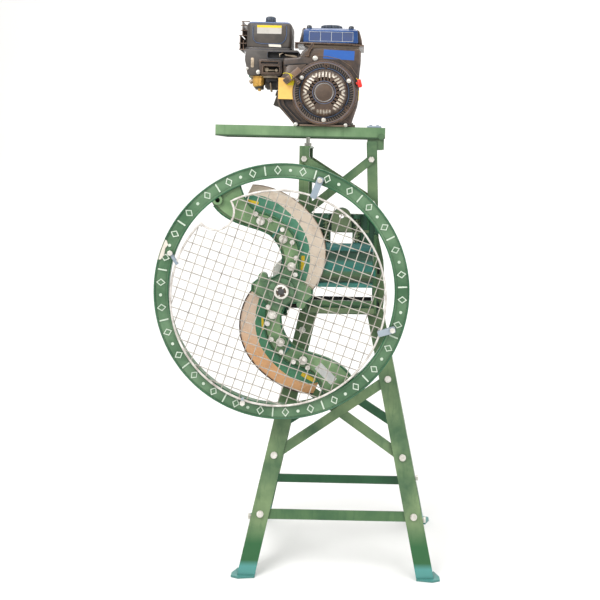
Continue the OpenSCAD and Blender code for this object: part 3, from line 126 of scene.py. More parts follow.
class Bench:
    """The workbench: primitives, edit-mode operators and modifiers that shape every new piece."""

    @staticmethod
    def clear() -> None:
        """Leaves edit mode and deselects everything."""
        if bpy.context.object and bpy.context.object.mode != "OBJECT":
            bpy.ops.object.mode_set(mode="OBJECT")
        bpy.ops.object.select_all(action="DESELECT")

    @staticmethod
    def pick(piece: bpy.types.Object) -> None:
        """Selects one piece and makes it the active one."""
        Bench.clear()
        piece.select_set(True)
        bpy.context.view_layer.objects.active = piece

    @staticmethod
    def named(name: str) -> bpy.types.Object:
        """Names the newest primitive and puts its place into its mesh."""
        piece = bpy.context.object
        piece.name = piece.data.name = name
        bpy.ops.object.transform_apply(location=True, rotation=True, scale=True)
        return piece

    @staticmethod
    def bevel(piece: bpy.types.Object, width: float, steps: int = 2, angle: float = 30.0) -> bpy.types.Object:
        """Rounds a piece's sharp edges with a Bevel modifier that is applied at once."""
        Bench.pick(piece)
        rounding = piece.modifiers.new("edges", "BEVEL")
        rounding.width = width * MM
        rounding.segments = steps
        rounding.limit_method = "ANGLE"
        rounding.angle_limit = math.radians(angle)
        rounding.harden_normals = False
        bpy.ops.object.modifier_apply(modifier=rounding.name)
        return piece

    @staticmethod
    def cut(piece: bpy.types.Object, tools: list[bpy.types.Object]) -> bpy.types.Object:
        """Cuts tools out of a piece and deletes them."""
        tool = Bench.join("cutter", tools)
        Bench.pick(piece)
        opening = piece.modifiers.new("opening", "BOOLEAN")
        opening.operation = "DIFFERENCE"
        opening.solver = "EXACT"
        opening.use_self = True
        opening.object = tool
        bpy.ops.object.modifier_apply(modifier=opening.name)
        bpy.data.objects.remove(tool)
        return piece

    @staticmethod
    def smooth(piece: bpy.types.Object, degrees: float = FLAT_ANGLE) -> bpy.types.Object:
        """Shades a piece smooth where its faces meet at less than an angle."""
        Bench.pick(piece)
        bpy.ops.object.shade_smooth_by_angle(angle=math.radians(degrees))
        return piece

    @staticmethod
    def join(name: str, parts: list[bpy.types.Object]) -> bpy.types.Object:
        """Joins parts into one piece."""
        Bench.clear()
        for part in parts:
            part.select_set(True)
        bpy.context.view_layer.objects.active = parts[0]
        if len(parts) > 1:
            bpy.ops.object.join()
        parts[0].name = parts[0].data.name = name
        return parts[0]

    @staticmethod
    def copy(piece: bpy.types.Object, change: Matrix) -> bpy.types.Object:
        """Copies a piece with a mesh of its own and moves the copy's mesh."""
        twin = piece.copy()
        twin.data = piece.data.copy()
        bpy.context.scene.collection.objects.link(twin)
        twin.data.transform(change)
        return twin

    @staticmethod
    def plate(name: str, outline: list[Flat], low: float, high: float, side: Side = Side.FRONT,
              edge: float = 0.0, steps: int = 2) -> bpy.types.Object:
        """Extrudes a flat outline and rounds its edges.

        Args:
            name: The piece's name.
            outline: The outline's corners, in the side's two directions.
            low: Where the thickness starts.
            high: Where the thickness ends.
            side: The view in which the outline is drawn.
            edge: Width of the rounded edges, or 0 for sharp ones.
            steps: Segments of each rounded edge.

        Returns:
            The closed piece.
        """
        Bench.clear()
        bpy.ops.mesh.primitive_circle_add(vertices=len(outline), radius=1.0, fill_type="NGON")
        piece = bpy.context.object
        for vertex, point in zip(piece.data.vertices, outline):
            vertex.co = side.place(point, low)
        bpy.ops.object.mode_set(mode="EDIT")
        bpy.ops.mesh.select_all(action="SELECT")
        bpy.ops.mesh.extrude_region_move(TRANSFORM_OT_translate={"value": side.along(high - low)})
        bpy.ops.mesh.select_all(action="SELECT")
        bpy.ops.mesh.normals_make_consistent(inside=False)
        bpy.ops.object.mode_set(mode="OBJECT")
        Bench.named(name)
        return Bench.bevel(piece, edge, steps) if edge else piece

    @staticmethod
    def block(name: str, low: Point, high: Point, edge: float = 0.6, steps: int = 2) -> bpy.types.Object:
        """Makes a box between two corners, with rounded edges."""
        Bench.clear()
        centre = [(a + b) / 2 * MM for a, b in zip(low, high)]
        bpy.ops.mesh.primitive_cube_add(size=1.0, location=centre)
        bpy.context.object.scale = [(b - a) * MM for a, b in zip(low, high)]
        return Bench.bevel(Bench.named(name), edge, steps)

    @staticmethod
    def turned(name: str, profile: list[Flat], centre: Point, axis: str = "Y", steps: int = 48) -> bpy.types.Object:
        """Spins a closed profile round an axis.

        Args:
            name: The piece's name.
            profile: Radius and distance along the axis of each corner.
            centre: A point on the axis, from which those distances count.
            axis: The axis' letter.
            steps: Parts of the full turn.

        Returns:
            The closed piece.
        """
        Bench.clear()
        bpy.ops.mesh.primitive_circle_add(vertices=len(profile), radius=1.0, fill_type="NOTHING")
        piece = bpy.context.object
        spots = {"Y": lambda r, t: (r, t, 0), "Z": lambda r, t: (r, 0, t), "X": lambda r, t: (t, r, 0)}
        for vertex, (radius, height) in zip(piece.data.vertices, profile):
            vertex.co = Vector(spots[axis](radius, height)) * MM
        ways = {"X": (1, 0, 0), "Y": (0, 1, 0), "Z": (0, 0, 1)}
        bpy.ops.object.mode_set(mode="EDIT")
        bpy.ops.mesh.select_all(action="SELECT")
        bpy.ops.mesh.spin(steps=steps, angle=2 * math.pi, center=(0, 0, 0), axis=ways[axis])
        bpy.ops.mesh.select_all(action="SELECT")
        bpy.ops.mesh.remove_doubles(threshold=1e-6)
        bpy.ops.mesh.dissolve_degenerate(threshold=1e-7)
        bpy.ops.mesh.select_all(action="SELECT")
        bpy.ops.mesh.normals_make_consistent(inside=False)
        bpy.ops.object.mode_set(mode="OBJECT")
        piece.location = Vector(centre) * MM
        return Bench.smooth(Bench.named(name))

    @staticmethod
    def rod(name: str, start: Point, end: Point, radius: float, sides: int = 24,
            edge: float = 0.4) -> bpy.types.Object:
        """Makes a round or many-sided bar between two points, with rounded ends."""
        Bench.clear()
        a, b = Vector(start) * MM, Vector(end) * MM
        turn = (b - a).to_track_quat("Z", "Y").to_euler()
        bpy.ops.mesh.primitive_cylinder_add(vertices=sides, radius=radius * MM, depth=(b - a).length,
                                            location=(a + b) / 2, rotation=turn)
        return Bench.smooth(Bench.bevel(Bench.named(name), edge, 2, 50.0))

    @staticmethod
    def wires(name: str, routes: list[list[Point]], radius: float, closed: bool = False,
              roundness: int = 1) -> bpy.types.Object:
        """Sweeps a round section along routes and turns the curve into a mesh.

        Args:
            name: The piece's name.
            routes: The points of each wire.
            radius: The wires' radius.
            closed: Whether each wire's ends meet.
            roundness: How finely the round section is divided.

        Returns:
            The piece, with closed ends.
        """
        Bench.clear()
        curve = bpy.data.curves.new(name, "CURVE")
        curve.dimensions = "3D"
        curve.bevel_depth = radius * MM
        curve.bevel_resolution = roundness
        curve.use_fill_caps = True
        for route in routes:
            line = curve.splines.new("POLY")
            line.points.add(len(route) - 1)
            for spot, point in zip(line.points, route):
                spot.co = (*(Vector(point) * MM), 1.0)
            line.use_cyclic_u = closed
        piece = bpy.data.objects.new(name, curve)
        bpy.context.scene.collection.objects.link(piece)
        Bench.pick(piece)
        bpy.ops.object.convert(target="MESH")
        return Bench.smooth(bpy.context.object, 60.0)


class Graph:
    """A material under construction: one shader, and the nodes that feed it."""

    def __init__(self, name: str, rough: float, metal: float = 0.0) -> None:
        """Starts a material.

        Args:
            name: The material's name.
            rough: The shader's roughness where nothing drives it.
            metal: The shader's metallic value.
        """
        self.material = bpy.data.materials.new(name)
        self.material.use_nodes = True
        self.tree = self.material.node_tree
        self.shader = self.tree.nodes["Principled BSDF"]
        self.shader.inputs["Roughness"].default_value = rough
        self.shader.inputs["Metallic"].default_value = metal
        self.place = self.tree.nodes.new("ShaderNodeTexCoord").outputs["Object"]

    def node(self, kind: str, **inputs: object) -> bpy.types.Node:
        """Adds a node and sets or links its inputs, named with underscores for spaces."""
        made = self.tree.nodes.new(kind)
        for key, value in inputs.items():
            numbered = key[0] == "n" and key[1:].isdigit()
            socket = made.inputs[int(key[1:]) if numbered else key.replace("_", " ")]
            if isinstance(value, bpy.types.NodeSocket):
                self.tree.links.new(value, socket)
            else:
                socket.default_value = value
        return made

    def drive(self, name: str, source: bpy.types.NodeSocket) -> None:
        """Links a socket to one of the shader's inputs."""
        self.tree.links.new(source, self.shader.inputs[name])

    def noise(self, scale: float, detail: float = 3.0, rough: float = 0.55,
              stretch: Point | None = None) -> bpy.types.NodeSocket:
        """Adds a noise pattern on the piece's own place, stretched where asked."""
        where = self.place
        if stretch:
            where = self.node("ShaderNodeMapping", Vector=self.place, Scale=stretch).outputs[0]
        return self.node("ShaderNodeTexNoise", Vector=where, Scale=scale, Detail=detail, Roughness=rough).outputs["Fac"]

    def spread(self, source: bpy.types.NodeSocket, low: float, high: float,
               to: Flat = (0.0, 1.0)) -> bpy.types.NodeSocket:
        """Maps a range of a pattern to another range."""
        return self.node("ShaderNodeMapRange", n0=source, n1=low, n2=high, n3=to[0], n4=to[1]).outputs[0]

    def sum(self, kind: str, first: object, second: object) -> bpy.types.NodeSocket:
        """Does one sum on two values."""
        made = self.tree.nodes.new("ShaderNodeMath")
        made.operation = kind
        for socket, value in zip(made.inputs, (first, second)):
            if isinstance(value, bpy.types.NodeSocket):
                self.tree.links.new(value, socket)
            else:
                socket.default_value = value
        return made.outputs[0]

    def mix(self, share: object, first: object, second: object) -> bpy.types.NodeSocket:
        """Mixes two colours."""
        made = self.tree.nodes.new("ShaderNodeMix")
        made.data_type = "RGBA"
        for socket, value in zip((made.inputs[0], made.inputs[6], made.inputs[7]), (share, first, second)):
            if isinstance(value, bpy.types.NodeSocket):
                self.tree.links.new(value, socket)
            else:
                socket.default_value = value
        return made.outputs[2]

    def bump(self, height: bpy.types.NodeSocket, depth: float) -> None:
        """Roughens the surface by a pattern, to a depth in millimetres."""
        made = self.node("ShaderNodeBump", Height=height, Strength=1.0, Distance=depth * MM)
        self.drive("Normal", made.outputs[0])

    def edges(self, width: float) -> bpy.types.NodeSocket:
        """Finds the sharp edges: 1 on an edge, 0 on a flat."""
        made = self.node("ShaderNodeBevel", Radius=width * MM)
        made.samples = 4
        flat = self.tree.nodes.new("ShaderNodeNewGeometry").outputs["Normal"]
        agree = self.tree.nodes.new("ShaderNodeVectorMath")
        agree.operation = "DOT_PRODUCT"
        self.tree.links.new(made.outputs[0], agree.inputs[0])
        self.tree.links.new(flat, agree.inputs[1])
        return self.spread(agree.outputs["Value"], 0.995, 0.85)

    def gap_shade(self, reach: float, share: float) -> bpy.types.NodeSocket:
        """Finds inner corners and gaps for painted shade: up to a share deep in a gap, 0 in the open."""
        made = self.node("ShaderNodeAmbientOcclusion", Distance=reach * MM)
        made.samples = 6
        return self.spread(made.outputs["AO"], 0.82, 0.3, (0.0, share))

    def height(self, low: float, high: float) -> bpy.types.NodeSocket:
        """Gives 1 below a height and 0 above another, in millimetres."""
        level = self.node("ShaderNodeSeparateXYZ", Vector=self.place).outputs["Z"]
        return self.spread(level, high * MM, low * MM)


@dataclass(frozen=True)
class Paint:
    """Brushed or sprayed paint, patchy, with stains and a separate tone along its edges, which is chipped paint on most
    coats, painted edge shade on the dark green ones and a painted highlight on the tank; shade is painted into its
    gaps.
    """

    name: str
    colour: str
    faded: str
    edge_wear_and_painted_light: str = "7a5a44"
    rough: float = 0.36
    patch: float = 7.0
    edge_wear_and_painted_light_share: float = 0.55
    grain: float = 0.12
    streaks: bool = False
    foot: str = ""
    foot_span: Flat = (30.0, 46.0)
    shin: str = ""
    shin_span: Flat = (90.0, 150.0)
    core: tuple[str, str] | None = None
    core_at: Flat = (-171.0, 828.0)
    core_span: Flat = (70.0, 322.0)
    edge_band_width: float = 1.6
    shade: float = 0.55

    def inner(self, graph: Graph, patch: bpy.types.NodeSocket, coat: bpy.types.NodeSocket) -> bpy.types.NodeSocket:
        """Mixes in the tones of the area between two radii of the wheel."""
        spot = graph.node("ShaderNodeSeparateXYZ", Vector=graph.place)
        aside = graph.sum("SUBTRACT", spot.outputs["X"], self.core_at[0] * MM)
        above = graph.sum("SUBTRACT", spot.outputs["Z"], self.core_at[1] * MM)
        far = graph.sum("SQRT", graph.sum("ADD", graph.sum("MULTIPLY", aside, aside),
                                          graph.sum("MULTIPLY", above, above)), 0.0)
        low, high = self.core_span
        ring = graph.sum("MULTIPLY", graph.spread(far, (low - 20) * MM, (low + 25) * MM),
                         graph.spread(far, (high + 6) * MM, high * MM))
        return graph.mix(ring, coat, graph.mix(patch, tone(self.core[0]), tone(self.core[1])))

    def build(self) -> bpy.types.Material:
        """Builds the paint's material.

        Returns:
            The material.
        """
        graph = Graph(self.name, self.rough)
        patch = graph.spread(graph.noise(self.patch, 5.0, 0.6), 0.34, 0.68)
        coat = graph.mix(patch, tone(self.colour), tone(self.faded))
        if self.core:
            coat = self.inner(graph, patch, coat)
        if self.streaks:
            run = graph.spread(graph.noise(1.0, 4.0, 0.65, (75.0, 75.0, 3.0)), 0.52, 0.72, (0.0, 0.55))
            coat = graph.mix(run, coat, tone(self.colour))
            rust = graph.spread(graph.noise(9.0, 6.0, 0.7, (2.2, 2.2, 0.8)), 0.66, 0.72, (0.0, 0.6))
            coat = graph.mix(rust, coat, tone(self.edge_wear_and_painted_light))
        if self.shin:
            coat = graph.mix(graph.height(*self.shin_span), coat, tone(self.shin))
        if self.foot:
            coat = graph.mix(graph.height(*self.foot_span), coat, tone(self.foot))
        # Edge tone: chipped paint on most coats, painted shade on the wheel, frame, rail and relief, a painted
        # highlight on the tank.
        edge_patches = graph.spread(graph.noise(140.0, 4.0, 0.7), 0.46, 0.62, (0.0, self.edge_wear_and_painted_light_share))
        edge_wear_and_painted_light_mask = graph.sum("MULTIPLY", graph.edges(self.edge_band_width), edge_patches)
        edge_wear_and_painted_light = graph.mix(edge_wear_and_painted_light_mask, coat, tone(self.edge_wear_and_painted_light))
        # Gaps and inner corners are darkened towards a near-black green: painted shade.
        graph.drive("Base Color", graph.mix(graph.gap_shade(16.0, self.shade), edge_wear_and_painted_light, tone("0b2415")))
        graph.drive("Roughness", graph.spread(graph.noise(24.0, 3.0), 0.3, 0.75,
                                              (self.rough - 0.08, self.rough + 0.16)))
        coarse = graph.noise(60.0, 3.0)
        fine = graph.noise(520.0, 2.0)
        graph.bump(graph.sum("ADD", coarse, graph.sum("MULTIPLY", fine, 0.35)), self.grain)
        return graph.material


@dataclass(frozen=True)
class Metal:
    """Bare metal, with brushed or cast grain and dull patches."""

    name: str
    colour: str
    dull: str
    rough: float = 0.34
    metal: float = 0.9
    grain: float = 0.04
    stretch: Point = (1.0, 1.0, 1.0)

    def build(self) -> bpy.types.Material:
        """Builds the metal's material.

        Returns:
            The material.
        """
        graph = Graph(self.name, self.rough, self.metal)
        patch = graph.spread(graph.noise(38.0, 5.0, 0.65), 0.38, 0.66)
        graph.drive("Base Color", graph.mix(patch, tone(self.colour), tone(self.dull)))
        graph.drive("Roughness", graph.spread(graph.noise(90.0, 3.0), 0.3, 0.7, (self.rough - 0.07, self.rough + 0.14)))
        graph.bump(graph.noise(420.0, 3.0, 0.6, self.stretch), self.grain)
        return graph.material


@dataclass(frozen=True)
class Plastic:
    """Moulded plastic or enamel with dust on it, lighter edges that are partly rubbed wear and partly painted
    highlight, painted shade in its gaps, and on some coats a painted reflection along the top.
    """

    name: str
    colour: str
    dust: str = "6d655c"
    rub_and_painted_glint_tone: str = "5a5c60"
    rough: float = 0.42
    dusting: float = 0.22
    grain: float = 0.05
    rub_and_painted_glint: float = 0.55
    shade: float = 0.9
    painted_top_glint: str = ""
    painted_top_glint_span: Flat = (1615.0, 1620.0)

    def build(self) -> bpy.types.Material:
        """Builds the plastic's material.

        Returns:
            The material.
        """
        graph = Graph(self.name, self.rough)
        dusty = graph.spread(graph.noise(16.0, 5.0, 0.65), 0.42, 0.72, (0.0, self.dusting))
        coat = graph.mix(dusty, tone(self.colour), tone(self.dust))
        # A tone above a height: painted reflection along the top.
        if self.painted_top_glint:
            coat = graph.mix(graph.height(*self.painted_top_glint_span), tone(self.painted_top_glint), coat)
        # Lighter edges: partly rubbed wear, partly painted highlight.
        rub_and_painted_glint = graph.mix(graph.sum("MULTIPLY", graph.edges(2.2), self.rub_and_painted_glint), coat, tone(self.rub_and_painted_glint_tone))
        # Gaps and inner corners are darkened towards near black: painted shade.
        graph.drive("Base Color", graph.mix(graph.gap_shade(12.0, self.shade), rub_and_painted_glint, tone("050404")))
        graph.drive("Roughness", graph.spread(graph.noise(30.0, 3.0), 0.3, 0.7, (self.rough - 0.06, self.rough + 0.12)))
        graph.bump(graph.noise(900.0, 2.0), self.grain)
        return graph.material


@dataclass(frozen=True)
class BladeSteel:
    """A blade: painted on its flat faces and ground to bare steel on its bevel."""

    name: str
    paint: str
    faded: str
    ground: str
    stain: str
    low_ground: str = ""
    low_span: Flat = (640.0, 730.0)
    flat_cosine: float = 0.9988

    def build(self) -> bpy.types.Material:
        """Builds the blade's material.

        Returns:
            The material.
        """
        graph = Graph(self.name, 0.4)
        flat = graph.tree.nodes.new("ShaderNodeNewGeometry").outputs["Normal"]
        facing = graph.sum("ABSOLUTE", graph.node("ShaderNodeSeparateXYZ", Vector=flat).outputs["Y"], 0.0)
        bevel = graph.sum("LESS_THAN", facing, self.flat_cosine)
        paint = graph.mix(graph.spread(graph.noise(14.0, 5.0, 0.6), 0.38, 0.68), tone(self.paint), tone(self.faded))
        stains = graph.spread(graph.noise(26.0, 6.0, 0.7), 0.5, 0.74, (0.0, 0.55))
        face = tone(self.ground)
        if self.low_ground:
            face = graph.mix(graph.height(*self.low_span), face, tone(self.low_ground))
        ground = graph.mix(stains, face, tone(self.stain))
        graph.drive("Base Color", graph.mix(bevel, paint, ground))
        graph.drive("Metallic", graph.sum("MULTIPLY", bevel, 0.15))
        graph.bump(graph.noise(300.0, 4.0, 0.6, (1.0, 1.0, 0.2)), 0.05)
        return graph.material


@dataclass(frozen=True)
class Bands:
    """Cast paint whose tone changes with height, as the ribs of the casting catch the light."""

    name: str
    stops: tuple[tuple[float, str], ...]
    rough: float = 0.4

    def build(self) -> bpy.types.Material:
        """Builds the banded material.

        Returns:
            The material.
        """
        graph = Graph(self.name, self.rough)
        level = graph.node("ShaderNodeSeparateXYZ", Vector=graph.place).outputs["Z"]
        waver = graph.spread(graph.noise(22.0, 4.0), 0.3, 0.7, (-0.002, 0.002))
        low, high = self.stops[0][0] * MM, self.stops[-1][0] * MM
        ramp = graph.node("ShaderNodeValToRGB", Fac=graph.spread(graph.sum("ADD", level, waver), low, high))
        marks = ramp.color_ramp.elements
        marks[0].color, marks[1].color = tone(self.stops[0][1]), tone(self.stops[-1][1])
        for height, code in self.stops[1:-1]:
            marks.new((height * MM - low) / (high - low)).color = tone(code)
        dull = graph.spread(graph.noise(48.0, 5.0, 0.65), 0.42, 0.7, (0.0, 0.3))
        graph.drive("Base Color", graph.mix(dull, ramp.outputs["Color"], tone("3c4a38")))
        graph.bump(graph.sum("ADD", graph.noise(60.0, 3.0), graph.noise(420.0, 2.0)), 0.3)
        return graph.material


@dataclass(frozen=True)
class Card:
    """Paper, tape or a film label, slightly soiled."""

    name: str
    colour: str
    soil: str = "b7a68c"
    rough: float = 0.5

    def build(self) -> bpy.types.Material:
        """Builds the card's material.

        Returns:
            The material.
        """
        graph = Graph(self.name, self.rough)
        soiled = graph.spread(graph.noise(60.0, 4.0, 0.65), 0.5, 0.78, (0.0, 0.4))
        graph.drive("Base Color", graph.mix(soiled, tone(self.colour), tone(self.soil)))
        graph.bump(graph.noise(260.0, 2.0), 0.04)
        return graph.material


class Coat(Enum):
    """Every finish on the machine."""

    # The wheel's dark green edge tone is painted shade along the rim's raised borders and the arms' edges.
    WHEEL = Paint("wheel_green", "345a3a", "628060", edge_wear_and_painted_light="143f2a", patch=9.0, grain=0.22, edge_wear_and_painted_light_share=1.0, edge_band_width=2.4,
                  core=("4c6d46", "809c70"))
    # Dark green edge tone: painted shade along the frame's edges.
    FRAME = Paint("frame_green", "38583a", "73895f", edge_wear_and_painted_light="2a4f34", edge_wear_and_painted_light_share=0.9, edge_band_width=2.2, streaks=True,
                  foot="4a8a84", shin="23592f")
    # Dark green edge tone and the dark band below 1275 to 1279 mm: painted edge shade and a painted shadow line along
    # the rail's lower edge.
    RAIL = Paint("rail_green", "4f6f4a", "7d9a70", edge_wear_and_painted_light="1d5034", edge_wear_and_painted_light_share=1.0, edge_band_width=2.2, streaks=True, foot="2f4a2e",
                 foot_span=(1275.0, 1279.0))
    BAR = Paint("bar_green", "254f30", "4f6f45", edge_wear_and_painted_light="6a4f3c", streaks=True, rough=0.4)
    DARK = Paint("shaded_green", "0f4426", "235c35", edge_wear_and_painted_light="4a4034", streaks=True)
    HEAD = Paint("head_green", "143d2a", "2f5c44", edge_wear_and_painted_light="4a4034", grain=0.35, rough=0.42)
    OLIVE = Paint("olive_green", "4d6143", "6c7c58", edge_wear_and_painted_light="55493a", grain=0.3)
    JAW = Bands("jaw_teal", ((832, "31786c"), (846, "2f6f66"), (852, "263c2c"), (864, "3c4a2e"), (868, "44603c"),
                             (880, "3f6446"), (886, "1f6a60"), (908, "27685c"), (916, "1c4030"), (940, "1d3f30"),
                             (946, "1d5f5c"), (962, "1d5a55")))
    # Dark green for the beads along the rim and arm edges: painted shade.
    EDGE = Paint("edge_shade_green", "1f5236", "2f6845", edge_wear_and_painted_light="173f2a", edge_wear_and_painted_light_share=0.3, shade=0.2)
    PALE_CAST = Metal("pale_casting", "d8d7d1", "b4b2aa", rough=0.5, metal=0.2)
    PRINT = Card("print_grey", "b3aea6", soil="8d877e")
    RIB = Paint("rib_teal", "0f5a50", "24705f", edge_wear_and_painted_light_share=0.2)
    # Dark green edge tone: painted shade round the raised shapes.
    RELIEF = Paint("relief_white", "c9d4c4", "a9bba6", edge_wear_and_painted_light="4f7a52", edge_wear_and_painted_light_share=0.5, grain=0.2)
    PALE_BLADE = BladeSteel("pale_blade_steel", "35745a", "5c8f74", "cfc0ae", "a58f7c")
    TAN_BLADE = BladeSteel("tan_blade_steel", "2c6a48", "4a8562", "c8b19c", "94705a", low_ground="cb9a6c")
    # Brown and near-black lines along the blades' edges: painted shade.
    BURR = Paint("blade_edge_shade_brown", "8a7462", "6b584a", edge_wear_and_painted_light="54443a", rough=0.5)
    DARK_BURR = Paint("blade_edge_shade_dark", "3f3029", "2a211d", edge_wear_and_painted_light="1c1614", rough=0.5)
    ZINC = Metal("zinc", "e6e3dc", "bcb7ad", rough=0.3, metal=0.35)
    WIRE = Metal("galvanised_wire", "b8b2a8", "857f77", rough=0.42, metal=0.2)
    HOOP = Metal("galvanised_rod", "dcd8d2", "a8a098", rough=0.42, metal=0.25)
    TAB = Paint("tab_grey", "7f8c98", "9aa5ac", edge_wear_and_painted_light="5c5f62", edge_wear_and_painted_light_share=0.3, shade=0.3)
    OILED = Metal("oiled_steel", "5b5c5c", "3a3732", rough=0.38, metal=0.85)
    ROLLER = Metal("black_iron", "101211", "1d2019", rough=0.6, metal=0.3, grain=0.12)
    BRONZE = Metal("bronze", "a0814a", "6f5a34", rough=0.38)
    ALLOY = Metal("cast_alloy", "4a4845", "6a5f52", rough=0.55, metal=0.6, grain=0.1)
    STEEL = Metal("lever_steel", "b8a892", "7a6a58", rough=0.4, metal=0.5)
    # Bluish edge tone and bluish band along the top: painted reflections.
    BLACK = Plastic("black_plastic", "37332f", dust="665a50", dusting=0.45, rub_and_painted_glint_tone="55617a", painted_top_glint="3c527c")
    # Pale brown edge tone: partly painted highlight.
    ENAMEL = Plastic("brown_black_enamel", "2c2420", rough=0.3, dusting=0.6, dust="6d5644", rub_and_painted_glint_tone="a07c60", rub_and_painted_glint=0.8)
    # Blue-white edge tone: painted highlight.
    GRIP = Plastic("grip_brown", "5f4939", dust="836650", dusting=0.6, rub_and_painted_glint_tone="b4c4d4", rub_and_painted_glint=0.9, rough=0.4)
    SCREEN = Plastic("screen_brown", "6e5a48", rough=0.35, dusting=0.5, dust="9a7d62", shade=0.6)
    FACE = Plastic("face_brown", "43352b", rough=0.32, dusting=0.5, dust="75604e", rub_and_painted_glint_tone="a98a6c", rub_and_painted_glint=0.8)
    # Bluish edge tone: painted reflection.
    SLATE = Plastic("slate_black", "23282e", rough=0.35, dust="4c5157", rub_and_painted_glint_tone="62748c", rub_and_painted_glint=0.7)
    # Near black for sheets and lines in gaps, slots and openings: painted shade.
    SLOT = Plastic("shade_black", "0b0a0a", rough=0.7, dusting=0.05)
    CREAM = Metal("fan_cream", "fff8ea", "e6d8c0", rough=0.5, metal=0.0)
    # Blue lines along glossy black edges: painted reflections.
    TRIM = Paint("blue_glint", "4a6088", "6c7c98", edge_wear_and_painted_light="3c3c44", rough=0.3, grain=0.02, edge_wear_and_painted_light_share=0.2)
    # Pale blue edge tone: painted highlight along the tank's edges.
    TANK = Paint("tank_blue", "14315f", "25528f", edge_wear_and_painted_light="7f9cc4", rough=0.22, grain=0.02, edge_wear_and_painted_light_share=0.5)
    PAN = Paint("pan_tan", "5b4a3c", "7a6653", edge_wear_and_painted_light="3e342c", rough=0.5)
    BOWL = Metal("bowl_gold", "d6a650", "b48a44", rough=0.3, metal=0.5)
    RED = Plastic("switch_red", "d3261c", dust="a03020", rub_and_painted_glint_tone="ff6a55", rough=0.3)
    YELLOW = Card("yellow_film", "d8b81e", "a88c24")
    TAG = Card("yellow_tag", "deb05a", "b98c45")
    GREYFILM = Card("grey_film", "b4b6b2", "94979a")
    BLUEFILM = Card("blue_film", "24549c", "38649f", rough=0.3)
    SILVER = Metal("silver_line", "c8cacc", "a0a3a6", rough=0.35, metal=0.4)
    PANEL = Card("dark_film", "31426b", soil="3f4048")
    TEAL = Plastic("teal_plastic", "1f6650", dust="2a5a4c", rub_and_painted_glint_tone="3f8a70", shade=0.3)
    TAPE = Card("pale_tape", "cfc8bc", "ad9f8c")
    STRING = Card("yellow_string", "d6c21c", "b9a010", rough=0.8)

    def material(self) -> bpy.types.Material:
        """Gives the finish's material, built on first use."""
        return bpy.data.materials.get(self.value.name) or self.value.build()


def dress(nodes: str, coat: Coat) -> None:
    """Gives CAD nodes a finish.

    Args:
        nodes: The nodes' names, with spaces between them.
        coat: The finish.
    """
    for name in nodes.split():
        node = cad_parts[name]
        if not node.data.materials:
            node.data.materials.append(None)
        for slot in node.material_slots:
            slot.material = coat.material()
        log.info("node %s: %s", name, coat.value.name)


def fit(piece: bpy.types.Object, body: str, coat: Coat, *replaced: str) -> bpy.types.Object:
    """Finishes a new piece: its material, its body, and the nodes that it stands for.

    Args:
        piece: The piece.
        body: The CAD body it moves with.
        coat: Its finish.
        replaced: Names of the CAD nodes that it stands for.

    Returns:
        The piece.
    """
    piece.data.materials.clear()
    piece.data.materials.append(coat.material())
    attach(piece, body)
    if replaced:
        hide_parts(*replaced)
    log.info("piece %s on %s: %s, %d faces", piece.name, body, coat.value.name, len(piece.data.polygons))
    return piece


def turn_about(centre: Flat, degrees: float) -> Matrix:
    """Gives a turn in the front view about a point, anticlockwise, as a matrix in metres."""
    spot = Vector((centre[0], 0, centre[1])) * MM
    return Matrix.Translation(spot) @ Matrix.Rotation(-math.radians(degrees), 4, "Y") @ Matrix.Translation(-spot)


def hex_head(name: str, x: float, y: float, z: float, across: float, height: float) -> bpy.types.Object:
    """Makes a bolt head with a washer and a chamfer, its back at y and its face to the front."""
    washer = Bench.turned("washer", [(0, 0), (across * 0.72, 0), (across * 0.72, -1.4), (across * 0.66, -1.8),
                                     (0, -1.8)],
                          (x, y, z), steps=24)
    head = Bench.rod("head", (x, y - 1.8, z), (x, y - 1.8 - height, z), across / math.sqrt(3), 6, 0.9)
    tip = Bench.turned("tip", [(0, 0), (across * 0.3, 0), (across * 0.3, -1.6), (across * 0.22, -2.6), (0, -2.6)],
                       (x, y - 1.8 - height, z), steps=16)
    return Bench.join(name, [washer, head, tip])


